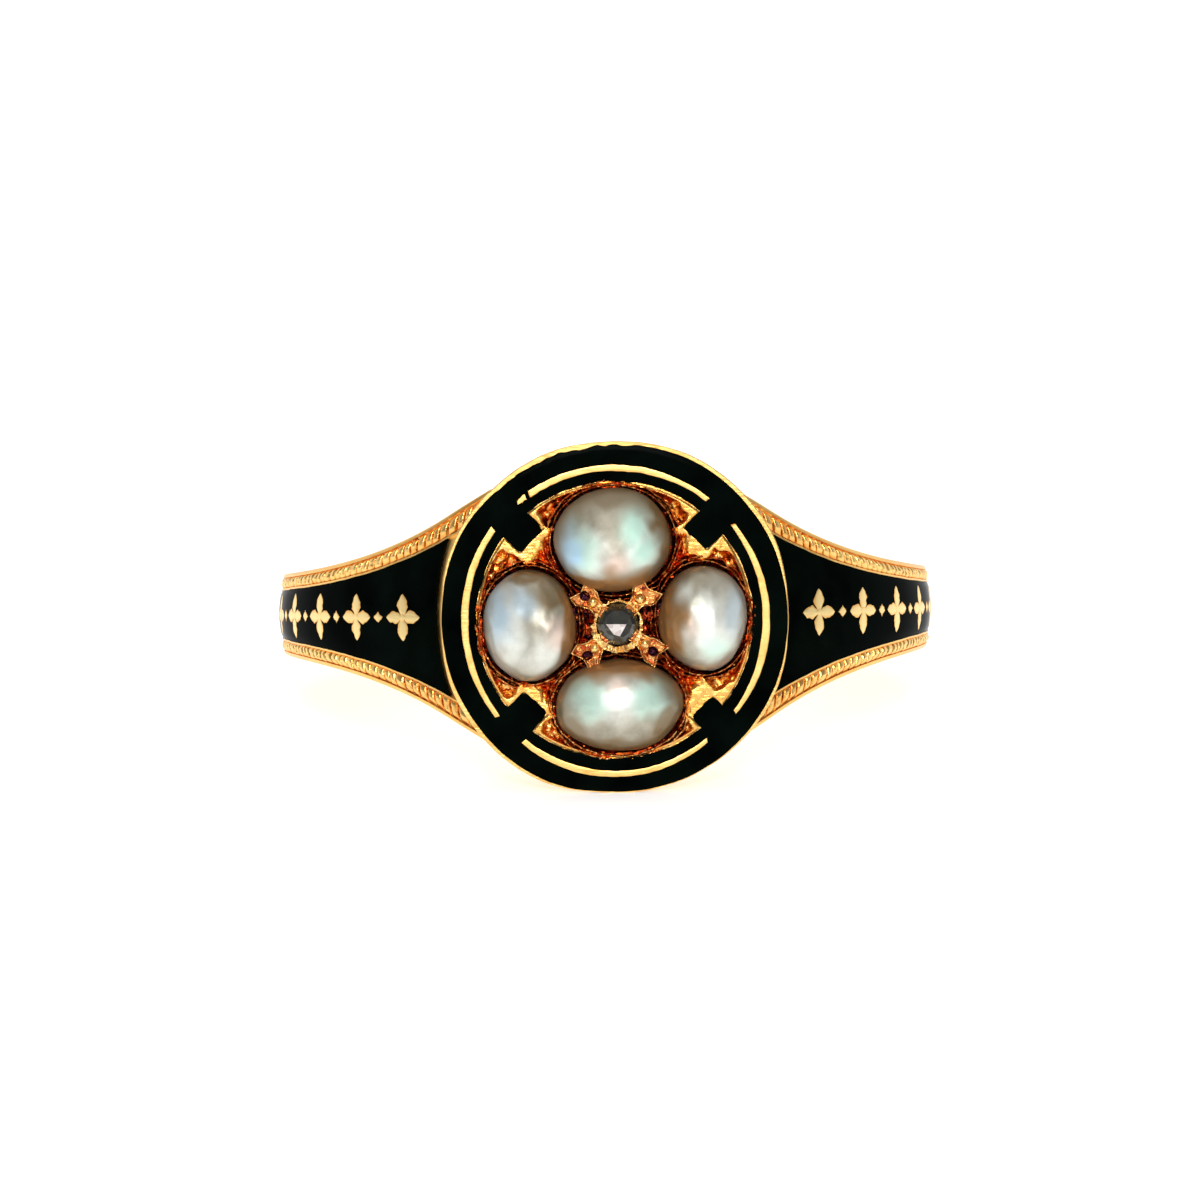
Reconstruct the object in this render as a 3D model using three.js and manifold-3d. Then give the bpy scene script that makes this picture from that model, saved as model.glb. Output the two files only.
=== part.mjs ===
// A gold and black enamel mourning ring lying on its side, in millimetres with +Z up.
// The gold is one soldered piece: a hoop with widening shoulders, a round head, and the settings.
// Black enamel fills shallow channels in it. Four half pearls and a small diamond are the stones.
// Everything is drawn in the ring's own frame first: the hoop's axis is Z and the head faces -Y.
// The last group tips that frame to the slope at which the ring lies by itself on a table.

import * as THREE from "three";
import { mergeVertices } from "three/addons/utils/BufferGeometryUtils.js";
import Module from "manifold-3d";

const wasm = await Module();
wasm.setup();

// Driving sizes of the hoop
const FINGER_RADIUS = 8.45;
const HOOP_WALL = 1.25;
const HOOP_WIDTH = 2.3;
const CROWN = 0.1;
const INNER_BEVEL = 0.22;
const EDGE_BEVEL = 0.07;

// The shoulders: width and rise where they meet the head, and how they fade towards the back
const SHOULDER_ANGLE = 28;
const SHOULDER_WIDTH = 5.85;
const SHOULDER_RISE = 0.35;
const UNDER_HEAD_ANGLE = 6;
const FADE_ANGLE = 19.3;
const FADE_OUT_ANGLE = 81.6;
const PLAIN_BACK_ANGLE = 129;

// The borders beside the enamel
const BORDER_BACK = 0.46;
const BORDER_SHOULDER = 0.59;

// The head
const HEAD_RADIUS = 5;
const HEAD_HEIGHT = 2.2;
const HEAD_BASE_RADIUS = 4.5;
const HEAD_BASE_LIFT = 0.25;
const HEAD_LIP = 0.6;
const HEAD_LIP_TAPER = 0.12;
const RIM_WIDTH = 0.08;
const RIM_BEVEL = 0.03;

// The enamel
const ENAMEL_DEPTH = 0.3;
const ENAMEL_GAP = 0.03;
const OUTER_RING_WIDTH = 0.5;
const ARC_WIDTH = 0.21;
const INNER_RING_WIDTH = 0.28;
const TAB_WIDTH = 0.93;
const PANEL_HEAD_RADIUS = 7;
const PANEL_HEAD_GAP = 0.08;
const PANEL_END_ANGLE = 124;

// The gold flowers and dots that stand in the shoulders' enamel
const FLOWER_HEIGHT = 1.36;
const FLOWER_LENGTH = 1.24;
const FLOWER_MARGIN = 0.13;
const PETAL_WIDTH = 0.36;
const MARK_DOT = 0.34;
const MARK_PITCH = 1.9;
const MARK_HEAD_GAP = 0.3;

// The pearls and their settings
const STONE_GAP = 0.04;
const COLLET_WALL = 0.09;
const COLLET_HEIGHT = 0.14;
const SEAT_DEPTH = 0.45;
const GIRDLE_DEPTH = 0.06;
const PEARL_HEIGHT = 1.2;
const PEARL_BASE_SHARE = 0.9;

// The carved pits beside them
const PIT_RADIUS = 0.46;
const PIT_DEPTH = 0.36;
const PIT_RING_RADIUS = 3.5;

// The middle stone and its setting
const DIAMOND_RADIUS = 0.6;
const DIAMOND_GIRDLE = 0.06;
const DIAMOND_CROWN = 0.28;
const DIAMOND_TABLE_RADIUS = 0.27;
const DIAMOND_PAVILION = 0.5;
const CENTRE_WALL = 0.14;
const CENTRE_LIFT = 0.34;
const ARM_REACH = 1.62;
const ARM_WIDTH = 0.62;
const ARM_WAIST = 0.42;
const ARM_NOTCH = 0.16;
const ARM_LIFT = 0.24;
const GRAIN_RADIUS = 0.14;

// How finely round things are cut
const HOOP_STEPS = 48;
const HEAD_STEPS = 60;
const PEARL_SIDES = 16;
const PEARL_RINGS = 5;
const COLLET_SIDES = 24;
const CENTRE_SIDES = 16;
const DIAMOND_SIDES = 8;

// Sizes that follow from the ones above
const HOOP_RADIUS = FINGER_RADIUS + HOOP_WALL;
const FACE = FINGER_RADIUS + HEAD_HEIGHT;
const CHANNEL_RADIUS = HEAD_RADIUS - RIM_WIDTH;
const ARC_OUTER_RADIUS = CHANNEL_RADIUS - OUTER_RING_WIDTH;
const ARC_INNER_RADIUS = ARC_OUTER_RADIUS - ARC_WIDTH;
const FIELD_RADIUS = ARC_INNER_RADIUS - INNER_RING_WIDTH;
const BEYOND = 2 * (FACE + HEAD_RADIUS);

// The half pearls. Places and half sizes are shares of the field's radius, and the height is a
// share of PEARL_HEIGHT.
const PEARLS = [
  { name: "pearl_top", x: 0.005, z: 0.553, halfX: 0.426, halfZ: 0.372, height: 1.0 },
  { name: "pearl_right", x: 0.65, z: -0.017, halfX: 0.318, halfZ: 0.384, height: 0.95 },
  { name: "pearl_bottom", x: 0.036, z: -0.634, halfX: 0.458, halfZ: 0.33, height: 0.97 },
  { name: "pearl_left", x: -0.606, z: -0.053, halfX: 0.334, halfZ: 0.402, height: 0.92 },
];

// The black blocks: the middle of each in degrees anticlockwise from +X, and how near its inner
// end comes to the middle as a share of the field's radius.
const TABS = [
  { angle: 44.5, inner: 0.814 },
  { angle: 135.5, inner: 0.814 },
  { angle: 225.8, inner: 0.814 },
  { angle: 314.3, inner: 0.89 },
];

// The gold arcs between the blocks, in degrees. The short one is a broken end.
const ARCS = [
  { from: -38.7, to: 38.2 },
  { from: 51, to: 123.2 },
  { from: 125.2, to: 129.2 },
  { from: 142, to: 219.3 },
  { from: 232, to: 307.3 },
];

// The carved pits, in degrees round the face.
const PITS = [28, 62.6, 116, 154, 207.5, 243.4, 299, 338];

// The middle stone sits a little off the middle. The shares are of the field's radius.
const CENTRE = { x: 0.033, z: -0.054 };

// The four arms of its setting, in degrees from the stone.
const ARMS = [48, 137, 227, 318];

const { degToRad, radToDeg } = THREE.MathUtils;

// A closed geometry as a manifold solid, right side out.
function solidOf(geometry) {
  const plain = geometry.clone();
  plain.deleteAttribute("normal");
  plain.deleteAttribute("uv");
  const merged = mergeVertices(plain, 1e-5);
  const corners = merged.index.array;
  const kept = [];
  for (let i = 0; i < corners.length; i += 3) {
    const [a, b, c] = [corners[i], corners[i + 1], corners[i + 2]];
    if (a !== b && b !== c && c !== a) kept.push(a, b, c);
  }
  const vertProperties = new Float32Array(merged.attributes.position.array);
  const make = (list) =>
    new wasm.Manifold(
      new wasm.Mesh({ numProp: 3, vertProperties, triVerts: new Uint32Array(list) }),
    );
  const made = make(kept);
  if (made.volume() > 0) return made;
  return make(kept.reverse());
}

// Several solids joined into one.
function joined(solids) {
  return solids.reduce((whole, next) => whole.add(next));
}

// A manifold solid as a named three.js mesh.
function meshOf(name, solid, look) {
  const { numProp, vertProperties, triVerts } = solid.getMesh();
  const count = vertProperties.length / numProp;
  const position = new Float32Array(count * 3);
  for (let i = 0; i < count; i++) {
    position.set(vertProperties.subarray(i * numProp, i * numProp + 3), i * 3);
  }
  const geometry = new THREE.BufferGeometry();
  geometry.setAttribute("position", new THREE.BufferAttribute(position, 3));
  geometry.setIndex(new THREE.BufferAttribute(new Uint32Array(triVerts), 1));
  geometry.computeVertexNormals();
  const mesh = new THREE.Mesh(geometry, new THREE.MeshStandardMaterial(look));
  mesh.name = name;
  return mesh;
}

// How much of the shoulder's flare is left at an angle from the head, in degrees.
function flare(angle) {
  if (Math.abs(angle) > PLAIN_BACK_ANGLE) return 0;
  const past = Math.max(Math.abs(angle) - SHOULDER_ANGLE, -UNDER_HEAD_ANGLE);
  return Math.exp(-past / FADE_ANGLE - Math.sign(past) * (past / FADE_OUT_ANGLE) ** 2);
}

// The hoop's measures at an angle from the head: half its width, half the enamel's width, its
// outer radius on the middle line, and its surface at a height z from that line.
function hoopAt(angle) {
  const share = flare(angle);
  const half = (HOOP_WIDTH + (SHOULDER_WIDTH - HOOP_WIDTH) * share) / 2;
  const border = BORDER_BACK + (BORDER_SHOULDER - BORDER_BACK) * share;
  const radius = HOOP_RADIUS + SHOULDER_RISE * share;
  const surface = (z) => radius - CROWN * (z / half) ** 2;
  return { half, panel: half - border, radius, surface };
}

// The upper half of a section, mirrored to close it.
function mirroredSection(points) {
  const other = points.filter(([, z]) => z !== 0).map(([radius, z]) => [radius, -z]);
  return [...points, ...other.reverse()];
}

// A closed ring swept round Z from a section that changes with the angle. Each section is a list
// of [radius, height] points, as many at every angle.
function sweptRing(section) {
  const points = [];
  const index = [];
  let sides = 0;
  for (let i = 0; i < HOOP_STEPS; i++) {
    const angle = ((i + 0.5) / HOOP_STEPS) * 360 - 180;
    const row = section(angle);
    sides = row.length;
    for (const [radius, height] of row) {
      points.push(radius * Math.sin(degToRad(angle)), -radius * Math.cos(degToRad(angle)), height);
    }
    for (let j = 0; j < sides; j++) {
      const next = (i + 1) % HOOP_STEPS;
      const a = i * sides + j;
      const b = i * sides + ((j + 1) % sides);
      const c = next * sides + j;
      const d = next * sides + ((j + 1) % sides);
      index.push(a, b, c, b, d, c);
    }
  }
  const geometry = new THREE.BufferGeometry();
  geometry.setAttribute("position", new THREE.Float32BufferAttribute(points, 3));
  geometry.setIndex(index);
  return solidOf(geometry);
}

// The hoop with its shoulders, before the channels are cut.
function hoopBlank() {
  return sweptRing((angle) => {
    const { half, panel, surface } = hoopAt(angle);
    return mirroredSection([
      [FINGER_RADIUS, half - INNER_BEVEL],
      [FINGER_RADIUS + INNER_BEVEL, half],
      [surface(half) - EDGE_BEVEL, half],
      [surface(half), half - EDGE_BEVEL],
      [surface(panel), panel],
      [surface(panel / 2), panel / 2],
      [surface(0), 0],
    ]);
  });
}

// The space between the two borders, all the way round. Its top stands above the hoop's surface
// by a distance, and the inset takes its floor and both sides in.
function channelRing(top, inset) {
  return sweptRing((angle) => {
    const { panel, surface } = hoopAt(angle);
    const side = panel - inset;
    const floor = inset - ENAMEL_DEPTH;
    return mirroredSection([
      [surface(0) + floor, 0],
      [surface(side) + floor, side],
      [surface(side) + top, side],
      [surface(side / 2) + top, side / 2],
      [surface(0) + top, 0],
    ]);
  });
}

// A wedge round Z between two angles from the head, taller and wider than the ring.
function wedge(from, to) {
  const corners = [from, (from + to) / 2, to].map((angle) => {
    const turn = degToRad(angle);
    return new THREE.Vector2(BEYOND * Math.sin(turn), -BEYOND * Math.cos(turn));
  });
  const shape = new THREE.Shape([new THREE.Vector2(0, 0), ...corners]);
  const geometry = new THREE.ExtrudeGeometry(shape, { depth: BEYOND, bevelEnabled: false });
  return solidOf(geometry.translate(0, 0, -BEYOND / 2));
}

// The region of one shoulder panel, taken in by an inset. It ends at the head in a shallow arc
// beside the head's wall, and straight across the hoop at the back.
function panelRegion(side, inset) {
  const start = SHOULDER_ANGLE - UNDER_HEAD_ANGLE;
  const end = PANEL_END_ANGLE - radToDeg(inset / HOOP_RADIUS);
  const arc = PANEL_HEAD_RADIUS + inset;
  const drum = new THREE.CylinderGeometry(arc, arc, BEYOND, HEAD_STEPS);
  drum.translate(side * (HEAD_RADIUS + PANEL_HEAD_GAP - PANEL_HEAD_RADIUS), -BEYOND / 2, 0);
  return wedge(side * start, side * end).subtract(solidOf(drum));
}

// A shape drawn on the face as [x, z], made solid from a depth below it to a height above it.
function facePrism(shape, below, above) {
  const geometry = new THREE.ExtrudeGeometry(shape, { depth: below + above, bevelEnabled: false });
  return solidOf(geometry.rotateX(Math.PI / 2).translate(0, below - FACE, 0));
}

// Points along a circle on the face, in degrees.
function arcPoints(radius, from, to) {
  const steps = Math.max(1, Math.round((Math.abs(to - from) / 360) * HEAD_STEPS));
  return Array.from({ length: steps + 1 }, (_, i) => {
    const turn = degToRad(from + ((to - from) * i) / steps);
    return new THREE.Vector2(radius * Math.cos(turn), radius * Math.sin(turn));
  });
}

// A disc on the face.
function discShape(radius) {
  return new THREE.Shape(arcPoints(radius, 0, 360).slice(0, -1));
}

// A gold arc, grown by a small distance all round.
function arcShape({ from, to }, grow) {
  const turn = radToDeg(grow / ARC_INNER_RADIUS);
  return new THREE.Shape([
    ...arcPoints(ARC_OUTER_RADIUS + grow, from - turn, to + turn),
    ...arcPoints(ARC_INNER_RADIUS - grow, to + turn, from - turn),
  ]);
}

// Points given as [along, across] on the face, turned to an angle and moved to a middle.
function turnedShape(points, angle, middle = { x: 0, z: 0 }) {
  const turn = degToRad(angle);
  const turned = points.map(([along, across]) =>
    new THREE.Vector2(along, across)
      .rotateAround(new THREE.Vector2(), turn)
      .add(new THREE.Vector2(middle.x, middle.z)),
  );
  return new THREE.Shape(turned);
}

// A black block that points inwards from the ring, taken in by an inset.
function tabShape({ angle, inner }, inset) {
  const half = TAB_WIDTH / 2 - inset;
  const near = inner * FIELD_RADIUS + inset;
  const far = (FIELD_RADIUS + ARC_INNER_RADIUS) / 2;
  const points = [
    [near, -half],
    [far, -half],
    [far, half],
    [near, half],
  ];
  return turnedShape(points, angle);
}

// An oval post round a pearl's place, grown by a distance.
function pearlPost({ x, z, halfX, halfZ }, grow, below, above) {
  const post = new THREE.CylinderGeometry(1, 1, below + above, COLLET_SIDES);
  post.scale(halfX * FIELD_RADIUS + grow, 1, halfZ * FIELD_RADIUS + grow);
  post.translate(x * FIELD_RADIUS, (below - above) / 2 - FACE, z * FIELD_RADIUS);
  return solidOf(post);
}

// The enamel's space on the face: the outer ring, the crossings between the arcs and the blocks,
// and the thin inner ring, clear of the gold arcs and of the pearls' settings.
function faceChannel(below, above, inset) {
  const deep = below + ENAMEL_DEPTH;
  const outer = facePrism(discShape(CHANNEL_RADIUS - inset), below, above);
  const field = facePrism(discShape(FIELD_RADIUS + inset), deep, above + ENAMEL_DEPTH);
  const tabs = TABS.map((tab) => facePrism(tabShape(tab, inset), below, above));
  const arcs = ARCS.map((arc) => facePrism(arcShape(arc, inset), deep, above + ENAMEL_DEPTH));
  const wall = STONE_GAP + COLLET_WALL + inset;
  const posts = PEARLS.map((pearl) => pearlPost(pearl, wall, deep, above + ENAMEL_DEPTH));
  return joined([outer.subtract(field), ...tabs]).subtract(joined([...arcs, ...posts]));
}

// The head: a turned drum with a straight lip and a waist that tapers in towards the hoop.
function headBlank() {
  const foot = FINGER_RADIUS + HEAD_BASE_LIFT;
  const profile = [
    [0, foot],
    [HEAD_BASE_RADIUS, foot],
    [HEAD_RADIUS - HEAD_LIP_TAPER, FACE - HEAD_LIP],
    [HEAD_RADIUS, FACE - RIM_BEVEL],
    [HEAD_RADIUS - RIM_BEVEL, FACE],
    [0, FACE],
  ].map(([radius, height]) => new THREE.Vector2(radius, -height));
  return solidOf(new THREE.LatheGeometry(profile, HEAD_STEPS));
}

// A petal with pointed ends from the middle of a flower, grown by a small distance.
function petalShape(length, width, angle, grow) {
  const scale = (width + 2 * grow) / width;
  const from = (length * (1 - scale)) / 2;
  const middle = length / 2;
  const curve = (side) =>
    new THREE.QuadraticBezierCurve(
      new THREE.Vector2(from, 0),
      new THREE.Vector2(middle, side * width * scale),
      new THREE.Vector2(length - from, 0),
    ).getPoints(2);
  const outline = [...curve(-1), ...curve(1).slice(1, -1).reverse()];
  return turnedShape(
    outline.map(({ x, y }) => [x, y]),
    angle,
  );
}

// A small square standing on its corner, grown by a small distance.
function dotShape(size, grow) {
  const half = size / 2 + grow * Math.SQRT2;
  return turnedShape(
    [
      [half, 0],
      [0, half],
      [-half, 0],
      [0, -half],
    ],
    0,
  );
}

// A shape on the hoop at an angle from the head, made solid right through the enamel.
function hoopPrism(shape, angle) {
  const options = { depth: 3 * ENAMEL_DEPTH, bevelEnabled: false };
  const geometry = new THREE.ExtrudeGeometry(shape, options).rotateX(Math.PI / 2);
  geometry.translate(0, 2 * ENAMEL_DEPTH - hoopAt(angle).radius, 0);
  return solidOf(geometry.rotateZ(degToRad(angle)));
}

// The ornament of one shoulder: flowers of four petals with a dot between two of them. Towards
// the back the flowers' height shrinks with the enamel.
function marks(side, grow) {
  const panelStart = Math.asin((HEAD_RADIUS + PANEL_HEAD_GAP) / HOOP_RADIUS);
  const first = radToDeg(panelStart + (MARK_HEAD_GAP + FLOWER_LENGTH / 2) / HOOP_RADIUS);
  const pitch = radToDeg(MARK_PITCH / HOOP_RADIUS);
  const count = Math.floor((PANEL_END_ANGLE - first) / pitch);
  const solids = [];
  for (let i = 0; i < count; i++) {
    const angle = first + i * pitch;
    const height = Math.min(FLOWER_HEIGHT, 2 * (hoopAt(angle).panel - FLOWER_MARGIN));
    for (const turn of [0, 90, 180, 270]) {
      const length = (turn % 180 ? height : FLOWER_LENGTH) / 2;
      solids.push(hoopPrism(petalShape(length, PETAL_WIDTH, turn, grow), side * angle));
    }
    solids.push(hoopPrism(dotShape(PETAL_WIDTH, grow), side * angle));
    solids.push(hoopPrism(dotShape(MARK_DOT, grow), side * (angle + pitch / 2)));
  }
  return joined(solids);
}

// One shoulder's enamel space. With no inset it is the cut in the gold, which runs on above the
// surface, and with an inset it is the enamel, which is flush with it.
function shoulderChannel(side, top, inset) {
  const space = channelRing(top, inset).intersect(panelRegion(side, inset));
  return space.subtract(marks(side, inset));
}

// A three-sided pit, with a flat side outwards and its point down.
function pit(angle) {
  const over = 1.25;
  const cone = new THREE.ConeGeometry(PIT_RADIUS * over, PIT_DEPTH * over, 3);
  const turn = degToRad(angle);
  cone.rotateY(Math.atan2(-Math.cos(turn), -Math.sin(turn)));
  const along = PIT_RING_RADIUS;
  const middle = PIT_DEPTH - (PIT_DEPTH * over) / 2 - FACE;
  cone.translate(along * Math.cos(turn), middle, along * Math.sin(turn));
  return solidOf(cone);
}

// The raised walls round the pearls, before their seats are cut.
function collets() {
  const grow = STONE_GAP + COLLET_WALL;
  const posts = PEARLS.map((pearl) => pearlPost(pearl, grow, SEAT_DEPTH, COLLET_HEIGHT));
  return joined(posts).intersect(facePrism(discShape(FIELD_RADIUS), BEYOND / 4, COLLET_HEIGHT));
}

// Where the middle stone stands on the face.
const centre = { x: CENTRE.x * FIELD_RADIUS, z: CENTRE.z * FIELD_RADIUS };

// The middle setting before its seat is cut: a post, four forked arms and a grain on each arm.
function centreSetting() {
  const reach = DIAMOND_RADIUS + STONE_GAP + CENTRE_WALL;
  const post = new THREE.CylinderGeometry(reach, reach, CENTRE_LIFT + ENAMEL_DEPTH, CENTRE_SIDES);
  post.translate(centre.x, (ENAMEL_DEPTH - CENTRE_LIFT) / 2 - FACE, centre.z);
  const solids = [solidOf(post)];
  const outline = [
    [DIAMOND_RADIUS, -ARM_WAIST / 2],
    [ARM_REACH, -ARM_WIDTH / 2],
    [ARM_REACH - ARM_NOTCH, 0],
    [ARM_REACH, ARM_WIDTH / 2],
    [DIAMOND_RADIUS, ARM_WAIST / 2],
  ];
  for (const angle of ARMS) {
    solids.push(facePrism(turnedShape(outline, angle, centre), ENAMEL_DEPTH, ARM_LIFT));
    const along = (reach + ARM_REACH) / 2;
    const turn = degToRad(angle);
    const grain = new THREE.SphereGeometry(GRAIN_RADIUS, 10, 6);
    const x = centre.x + along * Math.cos(turn);
    const z = centre.z + along * Math.sin(turn);
    solids.push(solidOf(grain.translate(x, -FACE - ARM_LIFT, z)));
  }
  return joined(solids);
}

// The depths of the middle stone below the face: the lower edge of its girdle and its point.
const girdleDepth = DIAMOND_GIRDLE / 2 - CENTRE_LIFT;
const pointDepth = girdleDepth + DIAMOND_PAVILION;

// The seat of the middle stone, open above.
function centreSeat() {
  const radius = DIAMOND_RADIUS + STONE_GAP;
  const above = CENTRE_LIFT + ENAMEL_DEPTH;
  const below = pointDepth + STONE_GAP;
  const seat = new THREE.CylinderGeometry(radius, radius, below + above, CENTRE_SIDES);
  return solidOf(seat.translate(centre.x, (below - above) / 2 - FACE, centre.z));
}

// All the gold as one piece.
function ringBody() {
  const above = ENAMEL_DEPTH;
  const shoulders = [1, -1].map((side) => shoulderChannel(side, above, 0));
  const hoop = hoopBlank().subtract(joined(shoulders));
  const head = headBlank()
    .subtract(faceChannel(ENAMEL_DEPTH, above, 0))
    .subtract(joined(PITS.map(pit)));
  const seats = PEARLS.map((pearl) => pearlPost(pearl, STONE_GAP, SEAT_DEPTH, BEYOND / 4));
  return joined([hoop, head, collets(), centreSetting()]).subtract(joined([...seats, centreSeat()]));
}

// A half pearl: a dome on a flat base that stands just clear of the floor of its seat.
function pearlSolid({ x, z, halfX, halfZ, height }) {
  const domeHeight = height * PEARL_HEIGHT;
  const dome = Array.from({ length: PEARL_RINGS + 1 }, (_, i) => {
    const turn = (i / PEARL_RINGS) * (Math.PI / 2);
    return [Math.cos(turn), domeHeight * Math.sin(turn) - GIRDLE_DEPTH];
  });
  dome[PEARL_RINGS][0] = 0;
  const base = STONE_GAP - SEAT_DEPTH;
  const profile = [[0, base], [PEARL_BASE_SHARE, base], ...dome];
  const lathe = new THREE.LatheGeometry(
    profile.map(([radius, rise]) => new THREE.Vector2(radius, -FACE - rise)),
    PEARL_SIDES,
  );
  lathe.scale(halfX * FIELD_RADIUS, 1, halfZ * FIELD_RADIUS);
  return solidOf(lathe.translate(x * FIELD_RADIUS, 0, z * FIELD_RADIUS));
}

// The middle stone: a table, eight crown facets, a thin girdle and eight facets down to a point.
function diamondSolid() {
  const profile = [
    [0, pointDepth],
    [DIAMOND_RADIUS, girdleDepth],
    [DIAMOND_RADIUS, girdleDepth - DIAMOND_GIRDLE],
    [DIAMOND_TABLE_RADIUS, girdleDepth - DIAMOND_GIRDLE - DIAMOND_CROWN],
    [0, girdleDepth - DIAMOND_GIRDLE - DIAMOND_CROWN],
  ].map(([radius, depth]) => new THREE.Vector2(radius, depth - FACE));
  const lathe = new THREE.LatheGeometry(profile, DIAMOND_SIDES);
  return solidOf(lathe.translate(centre.x, 0, centre.z));
}

// The slope at which the ring lies on its side: the rim of the head and the lower edge of the
// hoop's back are level.
function restingTilt(mesh) {
  const { array } = mesh.geometry.attributes.position;
  let tilt = 0;
  for (let turn = 0; turn < 6; turn++) {
    const lowest = { front: [0, Infinity], back: [0, Infinity] };
    for (let i = 0; i < array.length; i += 3) {
      const y = array[i + 1] * Math.cos(tilt) - array[i + 2] * Math.sin(tilt);
      const z = array[i + 1] * Math.sin(tilt) + array[i + 2] * Math.cos(tilt);
      const end = y < 0 ? "front" : "back";
      if (z < lowest[end][1]) lowest[end] = [y, z];
    }
    const { front, back } = lowest;
    tilt -= Math.atan2(back[1] - front[1], back[0] - front[0]);
  }
  return tilt;
}

const gold = { color: 0xd8a94c, roughness: 0.3, metalness: 1 };
const enamel = { color: 0x0b0d0c, roughness: 0.12, metalness: 0 };
const pearl = { color: 0xc9cecf, roughness: 0.3, metalness: 0 };
const clear = { color: 0x8d8a86, roughness: 0.05, metalness: 0.2 };

const body = meshOf("ring_body", ringBody(), gold);
const faceEnamel = faceChannel(ENAMEL_DEPTH - ENAMEL_GAP, 0, ENAMEL_GAP);

// The ring in its own frame
const ring = new THREE.Group();
ring.add(body);
ring.add(meshOf("enamel_left", shoulderChannel(-1, 0, ENAMEL_GAP), enamel));
ring.add(meshOf("enamel_right", shoulderChannel(1, 0, ENAMEL_GAP), enamel));
ring.add(meshOf("enamel_face", faceEnamel, enamel));
for (const row of PEARLS) {
  ring.add(meshOf(row.name, pearlSolid(row), pearl));
}
ring.add(meshOf("diamond", diamondSolid(), clear));

// The same ring as it lies on a table, with the origin under the middle of its bounding box
ring.rotation.x = restingTilt(body);
ring.updateMatrixWorld(true);
const box = new THREE.Box3().setFromObject(ring, true);
const middle = box.getCenter(new THREE.Vector3());
ring.position.set(-middle.x, -middle.y, -box.min.z);

const mourningRing = new THREE.Group();
mourningRing.add(ring);
export default mourningRing;
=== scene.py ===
# %% [markdown]
# # A mourning ring in gold, black enamel and half pearls
#
# The ring lies on its side on a white table. The imported model gives every piece its place, and
# this lesson dresses it: the gold gets its milled borders and carved ground, the enamel its depth
# and the pearls their lustre.
#
# First comes the imported model. The dressed ring may not outgrow it. The noise that tilts the
# gold's facets gets a seed here: without one it starts from the clock, and every run would cut
# other facets.

# %% Load the imported ring
import itertools
import math

import bmesh
import bpy
from mathutils import Matrix, Vector, noise


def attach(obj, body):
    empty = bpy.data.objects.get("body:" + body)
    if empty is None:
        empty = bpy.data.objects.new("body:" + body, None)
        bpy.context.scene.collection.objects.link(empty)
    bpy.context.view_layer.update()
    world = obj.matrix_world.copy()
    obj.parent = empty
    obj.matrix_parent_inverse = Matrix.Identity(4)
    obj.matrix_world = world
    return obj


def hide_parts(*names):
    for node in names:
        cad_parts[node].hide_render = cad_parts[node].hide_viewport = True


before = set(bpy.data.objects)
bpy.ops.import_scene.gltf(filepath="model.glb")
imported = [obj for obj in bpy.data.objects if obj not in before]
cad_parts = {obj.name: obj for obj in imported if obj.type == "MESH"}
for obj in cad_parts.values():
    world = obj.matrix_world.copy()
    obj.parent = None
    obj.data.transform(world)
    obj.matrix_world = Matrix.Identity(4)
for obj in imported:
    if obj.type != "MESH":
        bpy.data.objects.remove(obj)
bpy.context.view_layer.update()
noise.seed_set(7)
print("packed nodes:", sorted(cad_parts))

# %% [markdown]
# A ring is easiest to draw in its own frame: the hoop's axis upright, the head facing you along -Y,
# and millimetres throughout. It lies on the table tipped by almost eleven degrees, because its
# wide head and its narrow back both touch the table. One matrix carries every finished piece from
# the ring's frame to the table.

# %% From the ring's frame to the table
TILT = math.radians(10.8277)
HOOP_CENTRE = Vector((0, 1.2102, 2.9160))
LAY = Matrix.Scale(0.001, 4) @ Matrix.Translation(HOOP_CENTRE) @ Matrix.Rotation(-TILT, 4, "X")

# %% [markdown]
# These are the ring's sizes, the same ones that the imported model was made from. The shoulders
# flare towards the head, so the hoop's width, height and border all follow one flare curve.

# %% The ring's sizes in millimetres
FINGER_RADIUS = 8.45
HOOP_RADIUS = 9.7
HOOP_WIDTH = 2.3
CROWN = 0.1
INNER_BEVEL = 0.22
SHOULDER_ANGLE = 28
SHOULDER_WIDTH = 5.85
SHOULDER_RISE = 0.35
FADE_ANGLE = 19.3
FADE_OUT_ANGLE = 81.6
PLAIN_BACK_ANGLE = 129
PANEL_END_ANGLE = 124
BORDER_BACK = 0.49
BORDER_SHOULDER = 0.67
FACE = 10.65
HEAD_RADIUS = 5.0
CHANNEL_RADIUS = 4.935
FIELD_RADIUS = 3.93

# Sideways shifts on the face, right and up: a hand set the inlay a little off the drum's middle.
DRUM_SHIFT = (0.0275, -0.01)
TRAY_SHIFT = (0.04, -0.05)
INLAY_SHIFT = (0.04, -0.09)


def flare(angle):
    """The share of the shoulder's flare that is left at an angle from the head."""
    if abs(angle) > PLAIN_BACK_ANGLE:
        return 0.0
    past = abs(angle) - SHOULDER_ANGLE
    if past < 0:
        return 1 - max(past, -8.0) / FADE_ANGLE
    return math.exp(-past / FADE_ANGLE - (past / FADE_OUT_ANGLE) ** 2)


def half_width(angle):
    return (HOOP_WIDTH + (SHOULDER_WIDTH - HOOP_WIDTH) * flare(angle)) / 2


def panel_half(angle):
    """Half the enamel's width: what the two borders leave."""
    return half_width(angle) - BORDER_BACK - (BORDER_SHOULDER - BORDER_BACK) * flare(angle)


def surface(angle, z):
    """The hoop's outer radius at a height z from its middle line."""
    crown = CROWN * (z / half_width(angle)) ** 2
    return HOOP_RADIUS + SHOULDER_RISE * flare(angle) - crown


def on_hoop(angle, z, radius):
    turn = math.radians(angle)
    return Vector((radius * math.sin(turn), -radius * math.cos(turn), z))


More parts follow.
